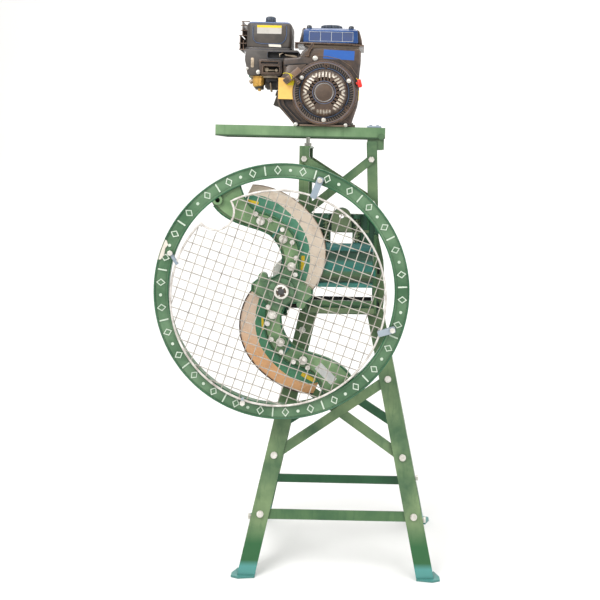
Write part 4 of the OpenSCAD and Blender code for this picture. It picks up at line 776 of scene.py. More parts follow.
@dataclass
class Studio:
    """Pale floor, soft lights and the camera at the photograph's place."""

    camera_at: Point = (48.6, -2972.0, 1220.0)
    lens_mm: float = 57.0
    sensor_mm: float = 36.0
    roll_degrees: float = -1.2
    shift: Flat = (-0.1017, -0.240)
    floor_half: float = 5200.0
    wall_y: float = 3400.0
    wall_top: float = 5200.0
    curve_r: float = 1400.0

    def floor(self) -> None:
        """Builds the floor and its backdrop as one swept sheet."""
        bend = [(self.wall_y - self.curve_r + self.curve_r * math.sin(math.radians(a)),
                 self.curve_r - self.curve_r * math.cos(math.radians(a))) for a in range(0, 91, 6)]
        top = [(-self.floor_half, 0.0), *bend, (self.wall_y, self.wall_top)]
        under = [(y + 6.0, z - 6.0) for y, z in reversed(top)]
        sheet = Bench.plate("studio_floor", top + under, -self.floor_half, self.floor_half, Side.END)
        Bench.smooth(sheet, 40.0)
        graph = Graph("studio_pale", 0.9)
        graph.drive("Base Color", graph.mix(graph.noise(1.5, 2.0), tone("eae9e7"), tone("efeeed")))
        sheet.data.materials.append(graph.material)

    def lamp(self, name: str, spot: Point, size: float, power: float, aim: Point) -> None:
        """Hangs one square soft light and points it."""
        Bench.clear()
        bpy.ops.object.light_add(type="AREA", location=Vector(spot) * MM)
        light = bpy.context.object
        light.name = name
        light.data.energy = power
        light.data.size = size * MM
        light.rotation_euler = ((Vector(aim) - Vector(spot)) * MM).to_track_quat("-Z", "Y").to_euler()

    def lights(self) -> None:
        """Sets the sky's tone and hangs the lights."""
        world = bpy.data.worlds.new("studio_sky")
        world.use_nodes = True
        world.node_tree.nodes["Background"].inputs["Color"].default_value = (1.0, 1.0, 1.0, 1.0)
        world.node_tree.nodes["Background"].inputs["Strength"].default_value = 0.78
        bpy.context.scene.world = world
        self.lamp("key", (-1500.0, -2300.0, 3200.0), 1800.0, 95.0, (0.0, 0.0, 900.0))
        self.lamp("fill", (2300.0, -2200.0, 1700.0), 2200.0, 40.0, (0.0, 0.0, 800.0))
        self.lamp("backdrop", (0.0, 1300.0, 3600.0), 3200.0, 18.0, (0.0, 3400.0, 1400.0))
        self.lamp("sweep", (0.0, 900.0, 2600.0), 2600.0, 24.0, (0.0, 1500.0, 0.0))

    def camera(self) -> None:
        """Places the camera and makes it the scene's own."""
        bpy.ops.object.camera_add(location=Vector(self.camera_at) * MM,
                                  rotation=(math.radians(90), math.radians(self.roll_degrees), 0))
        view = bpy.context.object
        view.name = "photo_camera"
        view.data.lens = self.lens_mm
        view.data.sensor_width = self.sensor_mm
        view.data.shift_x, view.data.shift_y = self.shift
        bpy.context.scene.camera = view

    def build(self) -> None:
        """Builds the whole studio."""
        self.camera()
        self.floor()
        self.lights()
        bpy.context.scene.view_settings.view_transform = "Standard"
        log.info("studio ready")


@dataclass
class CuttingWheel:
    """The flywheel with its blades, bolts, cast relief and bare film strips."""

    hub: Flat = (-171.0, 828.0)
    front: float = -250.0
    arm_front: float = -240.0
    blade_front: float = -212.0
    band_y: float = -247.5
    band_r: float = 347.0
    rim_r: float = 367.0
    relief_count: int = 60
    relief_high: float = 1.6
    bolts: tuple[Flat, ...] = ((-65, 199), (1, 148), (26, 70))
    screws: tuple[Flat, ...] = ((-79, 219), (-38, 203), (-2, 176), (27, 140), (39, 95), (38, 47))

    def at(self, point: Flat) -> Flat:
        """Moves a point given about the hub into the frame."""
        return self.hub[0] + point[0], self.hub[1] + point[1]

    def relief(self) -> None:
        """Casts a plain lozenge-and-bar relief round the rim's band."""
        top = self.band_y - self.relief_high
        outer = [(0, 14.0), (11.0, 0), (0, -14.0), (-11.0, 0)]
        inner = [(x * 0.66, z * 0.66) for x, z in outer]
        x0, z0 = self.hub[0], self.hub[1] + self.band_r
        lozenge = Bench.plate("lozenge", [(x0 + x, z0 + z) for x, z in outer], top, self.band_y + 0.2)
        hole = Bench.plate("hole", [(x0 + x, z0 + z) for x, z in inner], top - 1, self.band_y + 1)
        Bench.bevel(Bench.cut(lozenge, [hole]), 0.4, 1)
        bar = Bench.plate("bar", [(x0 + x, z0 + z) for x, z in ((-2.2, -13.5), (2.2, -13.5), (2.2, 13.5), (-2.2, 13.5))],
                          top, self.band_y + 0.2, edge=0.4, steps=1)
        dot = Bench.plate("dot", [polar(4.8, 45 * i, (x0, z0)) for i in range(8)], top, self.band_y + 0.2,
                          edge=0.4, steps=1)
        shapes = (lozenge, bar, lozenge, dot)
        parts = []
        for i in range(self.relief_count):
            parts.append(Bench.copy(shapes[i % 4], turn_about(self.hub, 360.0 * (i + 0.5) / self.relief_count)))
        for source in (lozenge, bar, dot):
            bpy.data.objects.remove(source)
        fit(Bench.join("rim_relief", parts), "wheel", Coat.RELIEF)

    def fasteners(self) -> None:
        """Caps the blade bolts and the set screws on both arms."""
        heads, domes = [], []
        first = hex_head("bolt", self.at(self.bolts[0])[0], self.arm_front - 2, self.at(self.bolts[0])[1], 17, 7)
        x, z = self.at(self.screws[0])
        dome = Bench.turned("dome", [(0, 0), (7.4, 0), (7.4, -2.4), (6.4, -4.2), (4.2, -5.8), (0, -6.6)],
                            (x, self.arm_front - 1, z), steps=20)
        for half in (0.0, 180.0):
            for points, source, made in ((self.bolts, first, heads), (self.screws, dome, domes)):
                for point in points:
                    step = Vector((point[0] - points[0][0], 0, point[1] - points[0][1])) * MM
                    made.append(Bench.copy(source, turn_about(self.hub, half) @ Matrix.Translation(step)))
        for source in (first, dome):
            bpy.data.objects.remove(source)
        fit(Bench.join("blade_bolt_heads", heads), "wheel", Coat.ZINC)
        fit(Bench.join("set_screw_caps", domes), "wheel", Coat.ZINC)

    def strip(self, name: str, centre: Flat, size: Flat, turn: float, back: float, coat: Coat) -> None:
        """Sticks a bare strip of film on a flat face."""
        half = (size[0] / 2, size[1] / 2)
        x, z = centre
        film = Bench.plate(name, rounded((x - half[0], z - half[1]), (x + half[0], z + half[1]), 1.2, 3),
                           back - 0.35, back - 0.02)
        film.data.transform(turn_about(centre, turn))
        fit(film, "wheel", coat)

    def films(self) -> None:
        """Adds the bare film strips and the tape on the rim."""
        self.strip("blade_film_top", (-267.0, 1080.0), (42, 10), -12, self.blade_front, Coat.YELLOW)
        self.strip("blade_film_side", (-114.5, 906.0), (10, 42), -2, self.blade_front, Coat.YELLOW)
        self.strip("blade_film_low", (-227.0, 728.0), (6, 38), 3, self.blade_front, Coat.YELLOW)
        self.strip("blade_film_foot", (-91.0, 574.0), (44, 12), -27, self.blade_front, Coat.YELLOW)
        self.strip("arm_label", (-39.5, 592.0), (66, 25), -44, self.arm_front, Coat.GREYFILM)
        arc = [polar(self.rim_r + 0.6, a, self.hub) for a in range(157, 169, 2)]
        ragged = ((166.5, 9), (164, 15), (161, 12), (159, 16), (157.5, 8))
        back = [polar(self.rim_r - r, a, self.hub) for a, r in ragged]
        tape = Bench.plate("rim_tape", arc + back, self.front - 0.7, self.front + 30.0, edge=0.5)
        fit(tape, "wheel", Coat.TAPE)

    def rim_edges(self) -> None:
        """Lays dark beads along the rim's inner and outer edges: painted shade of the rim's recess."""
        routes = [[(x, self.front + 0.6, z) for x, z in (polar(r, 2.0 * i, self.hub) for i in range(180))]
                  for r in (364.9, 325.6)]
        fit(Bench.wires("rim_edge_shade", routes, 1.9, closed=True), "wheel", Coat.EDGE)

    def arm_beads(self) -> None:
        """Adds the cast beads along both edges of each arm, in a dark green that is painted shade along the edges."""
        inner = [(-87, -4), (-86, 17), (-72, 29), (-27, 36), (-9, 47)]
        inner += bezier((2, 78), (2, 108), (-12, 139), (-39, 161), 10)
        inner += bezier((-39, 161), (-83, 186), (-158, 183), (-201, 240), 12)[1:]
        outer = bezier((-126, 302), (-116, 265), (-97, 229), (-64, 222), 10)
        outer += bezier((-64, 222), (-8, 211), (42, 166), (48, 106), 12)[1:] + [(47, 62), (44, 36)]
        routes = []
        for sign in (1, -1):
            for line in (inner, outer):
                routes.append([(self.hub[0] + sign * a, self.arm_front - 0.2, self.hub[1] + sign * b) for a, b in line])
        fit(Bench.wires("arm_beads", routes, 2.2), "wheel", Coat.EDGE)

    def ribs(self) -> None:
        """Adds the short cross rib on each arm."""
        parts = []
        x, z = self.at((-18.0, 168.0))
        rib = Bench.plate("rib", rounded((x - 4, z - 18), (x + 4, z + 18), 3, 3), self.arm_front - 5,
                          self.arm_front + 3, edge=1.0)
        rib.data.transform(turn_about((x, z), -38.0))
        for half in (0.0, 180.0):
            parts.append(Bench.copy(rib, turn_about(self.hub, half)))
        bpy.data.objects.remove(rib)
        fit(Bench.join("arm_ribs", parts), "wheel", Coat.RIB)

    def hub_ring(self) -> None:
        """Adds the bright ring before the hub's nut, with its four keys and the dark gap inside."""
        x, z = self.hub
        y = self.front - 14.0
        ring = Bench.turned("hub_collar", [(14.5, 0), (20.5, 0), (20.5, -3), (19, -4.2), (15.5, -4.2), (14.5, -3.2)],
                            (x, y, z), steps=40)
        keys = [Bench.turned("boss", [(0, 0), (5.6, 0), (5.6, -3), (4.6, -4), (0, -4)], (x, y, z), steps=20)]
        for a in (65, 155, 245, 335):
            near, far = polar(3.0, a, self.hub), polar(15.0, a, self.hub)
            keys.append(Bench.rod("key", (near[0], y - 1.8, near[1]), (far[0], y - 1.8, far[1]), 2.0, 8, 0.3))
        fit(Bench.join("hub_collar", [ring, *keys]), "wheel", Coat.ZINC)
        # Thin brown disc inside the collar: painted shade in the gap.
        gap = Bench.turned("hub_gap", [(0, 0), (15.0, 0), (15.0, -0.6), (0, -0.6)], (x, y, z), steps=32)
        fit(gap, "wheel", Coat.PAN)

    def blade_edges(self) -> None:
        """Draws dark lines along each blade's ground edge: painted shade of the edge's thickness."""
        line = bezier((-94, 302), (-14, 304), (84, 240), (112, 163))
        line += bezier((112, 163), (134, 112), (125, 28), (68, -20))[1:]
        y = self.blade_front + 2.6
        for name, sign, radius, coat in (("upper_edge_shade", 1, 1.1, Coat.BURR), ("lower_edge_shade", -1, 1.9, Coat.DARK_BURR)):
            route = [(self.hub[0] + sign * a, y, self.hub[1] + sign * b) for a, b in line]
            fit(Bench.wires(name, [route], radius), "wheel", coat)

    def build(self) -> None:
        """Dresses the wheel and adds its small parts."""
        dress("flywheel", Coat.WHEEL)
        dress("upper_blade", Coat.PALE_BLADE)
        dress("lower_blade", Coat.TAN_BLADE)
        dress("blade_bolts set_screws hub_nut", Coat.ZINC)
        dress("main_shaft worm", Coat.OILED)
        dress("driven_pulley", Coat.PALE_CAST)
        self.relief()
        self.fasteners()
        self.films()
        self.rim_edges()
        self.arm_beads()
        self.ribs()
        self.hub_ring()
        self.blade_edges()


@dataclass
class Guard:
    """The wire guard: its bent ring, its welded wires and its clips."""

    hub: Flat = (-171.0, 828.0)
    centre: Flat = (-9.0, -19.0)
    radius: float = 308.0
    bay: Flat = (-193.0, 225.0)
    bay_r: float = 53.0
    y: float = -256.0
    rod_r: float = 3.2
    wire_r: float = 1.5
    pitch: float = 27.0
    turn: float = -18.0
    wave: float = 0.7
    clip_r: float = 336.0

    def ring_route(self) -> list[Point]:
        """Draws the ring's middle line with its bay.

        Returns:
            The closed route's points.
        """
        gap = math.dist(self.bay, self.centre)
        aim = math.degrees(math.atan2(self.bay[1] - self.centre[1], self.bay[0] - self.centre[0]))
        ring_half = math.degrees(math.acos((gap ** 2 + self.radius ** 2 - self.bay_r ** 2) / (2 * gap * self.radius)))
        bay_half = math.degrees(math.acos((gap ** 2 + self.bay_r ** 2 - self.radius ** 2) / (2 * gap * self.bay_r)))
        big = [polar(self.radius, aim + ring_half + i / 150 * (360 - 2 * ring_half), self.centre) for i in range(151)]
        small = [polar(self.bay_r, aim + 180 + bay_half - i / 24 * 2 * bay_half, self.bay) for i in range(1, 24)]
        return [(self.hub[0] + x, self.y, self.hub[1] + z) for x, z in big + small]

    def inside(self, x: float, z: float) -> bool:
        """Tells whether a point about the hub lies in the net's area."""
        free = math.dist((x, z), self.bay) > self.bay_r + self.rod_r
        return free and math.dist((x, z), self.centre) < self.radius - self.rod_r * 0.5

    def wires(self) -> None:
        """Lays the two layers of wires, each a little uneven."""
        chance = random.Random(7)
        across = math.radians(self.turn)
        routes: list[list[Point]] = []
        rows = int(self.radius // self.pitch)
        for layer, depth in ((0, -self.wire_r * 0.8), (1, self.wire_r * 0.8)):
            along = (math.cos(across), math.sin(across)) if layer == 0 else (-math.sin(across), math.cos(across))
            aside = (-along[1], along[0])
            for k in range(-rows - 1, rows + 1):
                offset = (k + 0.5) * self.pitch + chance.uniform(-1.2, 1.2)
                lean = chance.uniform(-0.006, 0.006)
                phase = chance.uniform(0, 6.28)
                route: list[Point] = []
                for step in range(-78, 79):
                    s = step * 4.0
                    t = offset + lean * s + self.wave * math.sin(s / 41.0 + phase)
                    x = self.centre[0] + along[0] * s + aside[0] * t
                    z = self.centre[1] + along[1] * s + aside[1] * t
                    if self.inside(x, z):
                        dip = 0.5 * math.sin(math.pi * s / self.pitch)
                        route.append((self.hub[0] + x, self.y + depth + dip, self.hub[1] + z))
                    elif len(route) > 2:
                        routes.append(route)
                        route = []
                    else:
                        route = []
                if len(route) > 2:
                    routes.append(route)
        net = Bench.wires("guard_wires", [r[::2] + [r[-1]] for r in routes], self.wire_r)
        fit(net, "wheel", Coat.WIRE, "guard_mesh")

    def clips(self) -> None:
        """Builds the clips: grey tabs that pinch the hoop, and their bright bolts."""
        tabs, bolts = [], []
        for a, wide in ((72, 9.5), (162, 4.0), (252, 4.0), (342, 9.0)):
            bolt = polar(self.clip_r, a, self.hub)
            grip = polar(self.radius, a, (self.hub[0] + self.centre[0], self.hub[1] + self.centre[1]))
            reach = math.dist(bolt, grip) + 6.0
            turn = math.degrees(math.atan2(grip[1] - bolt[1], grip[0] - bolt[0]))
            outline = rounded((bolt[0] - wide, bolt[1] - wide), (bolt[0] + reach, bolt[1] + wide), wide * 0.6, 4)
            for low, high in ((-262.2, -259.4), (-252.7, -250.2)):
                tab = Bench.plate("tab", outline, low, high, edge=0.6)
                tab.data.transform(turn_about(bolt, turn))
                tabs.append(tab)
            bolts.append(Bench.rod("shank", (bolt[0], -262.0, bolt[1]), (bolt[0], -214.0, bolt[1]), 4.0, 20, 0.3))
            bolts.append(Bench.rod("head", (bolt[0], -262.3, bolt[1]), (bolt[0], -268.0, bolt[1]), 8.2, 6, 1.0))
            bolts.append(Bench.rod("nut", (bolt[0], -213.9, bolt[1]), (bolt[0], -208.5, bolt[1]), 7.5, 6, 0.8))
        fit(Bench.smooth(Bench.join("clip_tabs", tabs)), "wheel", Coat.TAB, "guard_clips")
        fit(Bench.join("clip_bolts", bolts), "wheel", Coat.ZINC)

    def build(self) -> None:
        """Builds the guard."""
        fit(Bench.wires("guard_hoop", [self.ring_route()], self.rod_r, closed=True, roundness=3),
            "wheel", Coat.HOOP, "guard_ring")
        self.wires()
        self.clips()


@dataclass
class Head:
    """The cast head with its mouth, jaw, rollers and bearings."""

    bridge_y: float = -178.0
    block_y: float = -186.0
    rod_x: Flat = (-50.0, 41.0)
    lip_y: float = -205.0

    def bridge_face(self) -> None:
        """Adds the round-topped boss of the bridge with its dark eye, and the ledge under it."""
        top = [polar(29.0, a, (-4.0, 1036.0)) for a in range(12, 169, 12)]
        face = Bench.plate("face", [(26, 999), (24, 1036), *top, (-34, 1036), (-33, 997)],
                           self.block_y - 2.2, self.block_y - 0.1, edge=0.9)
        eye = Bench.rod("eye", (-5, self.block_y - 5, 1042), (-5, self.block_y + 1, 1042), 7.0, 24)
        Bench.cut(face, [eye])
        fit(Bench.smooth(face), "stand", Coat.OLIVE)
        ledge = Bench.plate("bridge_ledge", rounded((-33, 994), (77, 1002.5), 2, 3), self.bridge_y - 2.2,
                            self.bridge_y - 0.1, edge=0.8)
        fit(ledge, "stand", Coat.OLIVE)

    def bridge_ribs(self) -> None:
        """Adds the upright ribs on both sides of the bridge's window."""
        ribs = [Bench.plate("rib", rounded((x0, 956), (x1, 1044), 2, 3), self.bridge_y - 2.0, self.bridge_y - 0.1,
                            edge=0.7)
                for x0, x1 in ((-78, -68), (-45, -38), (28, 33), (52, 58), (70, 78))]
        fit(Bench.join("bridge_ribs", ribs), "stand", Coat.DARK)

    def mouth_trim(self) -> None:
        """Adds the cast bead round the mouth's lower corners and a painted teal highlight on the right."""
        route = ((-97, 800), (-99, 784), (-93, 779), (88, 779), (96, 784), (98, 830), (98, 980))
        bead = [[(x, self.lip_y + 0.8, z) for x, z in route]]
        fit(Bench.wires("mouth_bead", bead, 1.2), "stand", Coat.DARK)
        # Teal strip on the right column: painted highlight.
        scrape = Bench.plate("mouth_teal_glint", rounded((91.5, 867), (98, 889), 2, 3), self.lip_y - 0.5, self.lip_y)
        fit(scrape, "stand", Coat.RIB)
        under = Bench.plate("beam_face", rounded((-96, 761), (96, 777), 4, 4), self.lip_y - 1.6, self.lip_y + 0.4,
                            edge=1.2)
        fit(Bench.smooth(under), "stand", Coat.OLIVE)

    def build(self) -> None:
        """Dresses the head's nodes and adds the cast details that face the wheel."""
        dress("head_casting top_bridge bearing_bracket", Coat.HEAD)
        dress("mouth_plate ledger_blade", Coat.BAR)
        dress("upper_jaw", Coat.JAW)
        dress("upper_roller lower_roller", Coat.ROLLER)
        dress("upper_worm_wheel lower_worm_wheel", Coat.HEAD)
        dress("bearing_caps", Coat.BRONZE)
        dress("pressure_springs jaw_rods", Coat.OLIVE)
        self.bridge_face()
        self.bridge_ribs()
        self.mouth_trim()


@dataclass
class Stand:
    """The splayed stand of angle iron, the tower and the platform."""

    def hinge_plates(self) -> None:
        """Adds the small grey plates that hold the platform's hinge."""
        plate = Bench.block("front", (65, -114, 1306.1), (108, -82, 1311.5), 1.2)
        heads = [Bench.rod("head", (x, -98, 1311.5), (x, -98, 1314.5), 5.0, 6, 0.6) for x in (76, 97)]
        fit(Bench.smooth(Bench.join("hinge_plate", [plate, *heads])), "platform", Coat.TAB)

    def build(self) -> None:
        """Dresses the stand's nodes."""
        dress("front_left_leg front_right_leg rear_left_leg rear_right_leg", Coat.FRAME)
        dress("left_posts right_posts post_straps tension_bracket front_cross_braces", Coat.FRAME)
        dress("engine_platform", Coat.RAIL)
        dress("front_bar side_bars", Coat.BAR)
        dress("rear_bar rear_cross_braces", Coat.DARK)
        dress("stand_bolts tower_bolts tension_screw", Coat.ZINC)
        dress("platform_hinge", Coat.FRAME)
        self.hinge_plates()


@dataclass
class Engine:
    """The small petrol engine: shroud, recoil starter, air cleaner, tank and fittings."""

    shaft: Flat = (-65.0, 1406.0)
    shroud_y: Flat = (-124.0, -61.0)
    face_y: float = -138.0
    boss_r: float = 81.0
    slot_pitch: float = 10.0
    slot_half: float = 2.75
    slot_r: Flat = (33.0, 66.0)
    cap_at: Flat = (-51.0, -14.0)

    def ring(self, name: str, radius: float, y: float, thick: float) -> bpy.types.Object:
        """Makes a thin round bead about the crankshaft."""
        route = [(x, y, z) for x, z in (polar(radius, 5 * i, self.shaft) for i in range(72))]
        return Bench.wires(name, [route], thick, closed=True)

    def shroud(self) -> None:
        """Builds the fan's shroud with the band over the cylinder, pale beads along its edges as painted highlights,
        black lines in its grooves as painted shade, and its left scroll.
        """
        x0, z0 = self.shaft
        outline = [(-190, 1486), (-191, 1510), (-144, 1513), (-134, 1531), (-118, 1541), (-20, 1543), (38, 1541),
                   (42, 1532), (42, 1505), (38, 1462), (39, 1406), (34, 1370), (20, 1326), (16, 1308), (-152, 1308),
                   (-159, 1316), (-200, 1361), (-208, 1385), (-204, 1440), (-190, 1463)]
        back = Bench.plate("back", outline, *self.shroud_y, edge=6.0, steps=4)
        drum = Bench.turned("drum", [(60, 0), (90.5, 0), (92, -1.8), (94, -1.8), (95, 0), (96, 1), (97.6, 2), (98, 6),
                                     (98, 30), (60, 30)], (x0, self.face_y, z0), steps=96)
        Bench.smooth(back)
        fit(Bench.join("fan_shroud", [back, drum]), "platform", Coat.ENAMEL, "fan_housing")
        scroll = Bench.plate("scroll", [(-184, 1478), (-176, 1488), (-120, 1492), (-128, 1462), (-160, 1428),
                                        (-163, 1380),
                                        (-184, 1392), (-187, 1440)], self.shroud_y[0] - 3.5, self.shroud_y[0] + 2,
                             edge=2.6, steps=3)
        fit(Bench.smooth(scroll), "platform", Coat.FACE)
        y = self.shroud_y[0] - 0.6
        # Pale beads along the edges: painted highlights.
        beads = Bench.wires("shroud_edge_glints", [
            [(-205, y, 1392), (-198, y, 1366), (-160, y, 1322), (-150, y, 1312)],
            [(-190, y, 1384), (-184, y, 1366), (-150, y, 1330), (-136, y, 1318)],
            [(-150, y, 1311), (-60, y, 1311.5), (14, y, 1311)],
            [(-140, y, 1515), (-60, y, 1517), (-20, y, 1508), (12, y, 1488), (32, y, 1460)]], 1.1)
        fit(beads, "platform", Coat.SCREEN)
        # Black lines in the grooves: painted shade.
        grooves = Bench.wires("shroud_groove_shade", [
            [(-201, y, 1390), (-194, y, 1368), (-157, y, 1325), (-147, y, 1315)],
            [(-186, y, 1382), (-180, y, 1367), (-147, y, 1333), (-133, y, 1321)],
            [(-148, y, 1314.5), (-60, y, 1315), (14, y, 1314.5)],
            [(-188, y, 1487), (-150, y, 1492)]
            + [(x, y, z) for x, z in (polar(93.6, a, self.shaft) for a in range(112, 14, -7))]], 1.9)
        fit(grooves, "platform", Coat.SLOT)
        base = Bench.plate("base_lip", rounded((-138, 1306.4), (2, 1310.6), 1.5, 3), self.shroud_y[0] - 8,
                           self.shroud_y[0] + 4, edge=0.8)
        fit(base, "platform", Coat.PAN)

    def slots(self) -> list[bpy.types.Object]:
        """Makes the tools for the recoil cover's six groups of parallel slots."""
        x0, z0 = self.shaft
        tools = []
        for group in range(6):
            centre = 90.0 + 60.0 * group
            low = group == 3
            for k in range(-2 if low else -3, 3):
                offset = 9.0 * k if low else self.slot_pitch * (k + 0.5)
                side = abs(offset) + self.slot_half
                start = 51.0 if low else max(self.slot_r[0], side / math.tan(math.radians(30)) - 2.5)
                end = math.sqrt(self.slot_r[1] ** 2 - side ** 2)
                outline = rounded((x0 + start, z0 + offset - self.slot_half), (x0 + end, z0 + offset + self.slot_half),
                                  1.6, 2)
                tool = Bench.plate("slot", outline, self.face_y - 30, self.face_y - 2)
                tool.data.transform(turn_about(self.shaft, centre))
                tools.append(tool)
        return tools

    def recoil(self) -> None:
        """Builds the recoil starter: slotted dome, pale fan behind it, plain middle, blue beads that are painted
        reflections, and a black disc behind the fan and black rings in the gaps as painted shade.
        """
        x0, z0 = self.shaft
        dome = Bench.turned("recoil_dome", [
            (26, -18.0), (29, -21.2), (54, -21.2), (62, -18.2), (69, -11), (72.6, -3.5), (73.5, 0), (69.5, 0),
            (66.5, -8), (60.5, -14.6), (53.5, -17.6), (29, -17.8), (27, -15)], (x0, self.face_y, z0), steps=96)
        Bench.cut(dome, self.slots())
        fit(Bench.smooth(dome, 30.0), "platform", Coat.ENAMEL, "recoil_cover")
        fan = Bench.turned("fan_ring", [(46.5, -17.0), (53, -17.0), (60, -13.9), (64.8, -9), (64.8, -3), (46.5, -3)],
                           (x0, self.face_y, z0), steps=72)
        fit(fan, "platform", Coat.CREAM)
        # Black disc behind the fan: painted shade.
        dark = Bench.turned("fan_dark", [(0, -11), (46.9, -11), (46.9, -1), (0, -1)], (x0, self.face_y, z0), steps=72)
        fit(dark, "platform", Coat.SLOT)
        disc = Bench.turned("recoil_disc", [(0, -21.4), (22, -21.6), (25.5, -20.8), (27, -18), (27, -8), (0, -8)],
                            (x0, self.face_y, z0), steps=64)
        fit(disc, "platform", Coat.FACE)
        fit(self.ring("recoil_silver", 27.2, self.face_y - 20.4, 0.9), "platform", Coat.SILVER)
        # Blue beads: painted reflections; black rings: painted shade in the gaps.
        beads = [self.ring("bead", 33.6, self.face_y - 21.3, 0.7), self.ring("bead", 73.2, self.face_y - 2.2, 1.1),
                 self.ring("bead", 90.4, self.face_y - 1.2, 1.0)]
        fit(Bench.join("recoil_glint_beads", beads), "platform", Coat.TRIM)
        gap_shade = [self.ring("gap", 75.6, self.face_y - 0.6, 1.5), self.ring("gap", 87.6, self.face_y - 0.4, 1.2)]
        fit(Bench.join("recoil_gaps", gap_shade), "platform", Coat.SLOT)

    def screen(self) -> None:
        """Builds the ring round the recoil cover: slanting ribs over a black floor that is painted shade."""
        x0, z0 = self.shaft
        # Black floor between the ribs: painted shade.
        floor = Bench.turned("screen_floor", [(73.6, 0.4), (73.6, -1.2), (90, -1.2), (90, 0.4)],
                             (x0, self.face_y, z0), steps=72)
        fit(floor, "platform", Coat.SLOT)
        rib = Bench.plate("rib", [(x0 + x, z0 + z) for x, z in ((76.5, -2.6), (76.8, -0.9), (87.8, 2.4), (87.6, 0.6))],
                          self.face_y - 2.6, self.face_y - 0.8, edge=0.3, steps=1)
        ribs = [Bench.copy(rib, turn_about(self.shaft, 5.0 * i)) for i in range(72)]
        bpy.data.objects.remove(rib)
        lip = Bench.turned("lip", [(87, -1), (88, -3), (90, -3), (91, -1)], (x0, self.face_y, z0), steps=72)
        fit(Bench.join("screen_ribs", [*ribs, lip]), "platform", Coat.SCREEN)

    def cover_bolts(self) -> None:
        """Adds the cover's bolts, the bosses between them and the shroud's other bolts."""
        heads = []
        spots = [(*polar(self.boss_r, a, self.shaft), self.face_y - 4.2, 9.0) for a in (27, 147, 270)]
        spots += [(-267, 1467, -104, 9.0), (-95, 1510, self.shroud_y[0] - 0.5, 10.5),
                  (-149, 1311, self.shroud_y[0] - 3, 8.0),
                  (0, 1311, self.shroud_y[0] - 3, 8.0)]
        for x, z, y, across in spots:
            heads.append(hex_head("head", x, y, z, across, 4))
        heads.append(hex_head("head", -301, -92.5, 1478, 8, 3))
        fit(Bench.join("cover_bolts", heads), "platform", Coat.ZINC)
        bosses = []
        for a in (27, 87, 147, 207, 270, 327):
            hole = 3.6 if a in (87, 207, 327) else 0.0
            profile = [(hole, 2), (9.2, 2), (8.6, -2.6), (7.6, -4), (hole + 0.2, -4), (hole, -3)]
            x, z = polar(self.boss_r, a, self.shaft)
            bosses.append(Bench.turned("boss", profile, (x, self.face_y, z), steps=28))
        fit(Bench.join("cover_bosses", bosses), "platform", Coat.ENAMEL)

    def pull_grip(self) -> None:
        """Builds the starter's grip, a dark plate on its lower end as painted shade, and the guide that it hangs from.
        """
        x, z = -160.5, 1454.0
        y = self.face_y - 12
        bar = Bench.plate("bar", rounded((x - 30.5, z - 9.2), (x + 30.5, z + 9.2), 4.0, 5), y - 8, y + 8,
                          edge=2.6, steps=3)
        bar.data.transform(turn_about((x, z), 42.0))
        fit(Bench.smooth(bar), "starter", Coat.GRIP, "starter_handle")
        bar.name = bar.data.name = "pull_grip"
        # Dark plate on the grip's lower end: painted shade.
        foot = Bench.plate("grip_lower_shade", rounded((x - 30.0, z - 8.6), (x - 13.0, z + 8.6), 3.6, 4), y - 8.7, y - 7.4,
                           edge=0.5)
        foot.data.transform(turn_about((x, z), 42.0))
        guide = Bench.rod("guide", (-153, y, 1448), (-139, y, 1430.5), 5.6, 20, 1.6)
        collar = Bench.rod("collar", (-144, y, 1437), (-140, y, 1432), 7.4, 20, 1.2)
        fit(Bench.join("grip_guide", [guide, collar, foot]), "starter", Coat.ENAMEL)

    def tag(self) -> None:
        """Hangs the bare yellow tag behind the grip, with its string and its reinforced corner."""
        y = self.face_y + 1.2
        card = Bench.plate("hang_tag", rounded((-202.5, 1385.0), (-155.0, 1448.5), 1.5, 3), y - 0.8, y)
        fit(card, "starter", Coat.TAG)
        corner = Bench.plate("tag_corner", [(-177, 1427), (-170, 1440), (-155.4, 1440), (-155.4, 1426)],
                             y - 1.3, y - 0.8)
        fit(corner, "starter", Coat.STRING)
        eye = Bench.turned("tag_eye", [(0, 0), (1.9, 0), (1.9, -0.6), (0, -0.6)], (-165, y - 1.3, 1437), steps=12)
        fit(eye, "starter", Coat.RED)
        front = self.face_y - 21.4
        loops = [[(-188, front, 1459), (-181, front, 1461.5), (-174, front, 1461), (-168, front, 1458),
                  (-163, front, 1454),
                  (-161, front, 1446), (-163, front + 8, 1440), (-165, y - 1.6, 1437)],
                 [(-176, front, 1461), (-166, front, 1459), (-158, front, 1453), (-153, front + 6, 1449)],
                 [(-168, front, 1458), (-163, front, 1449), (-162, front + 3, 1443), (-165, y - 1.8, 1437.5)]]
        fit(Bench.wires("tag_string", loops, 0.85), "starter", Coat.STRING)

    def sticker(self, name: str, outline: list[Flat], back: float, coat: Coat) -> None:
        """Sticks a bare film on a front face."""
        fit(Bench.plate(name, outline, back - 0.3, back - 0.02), "platform", coat)

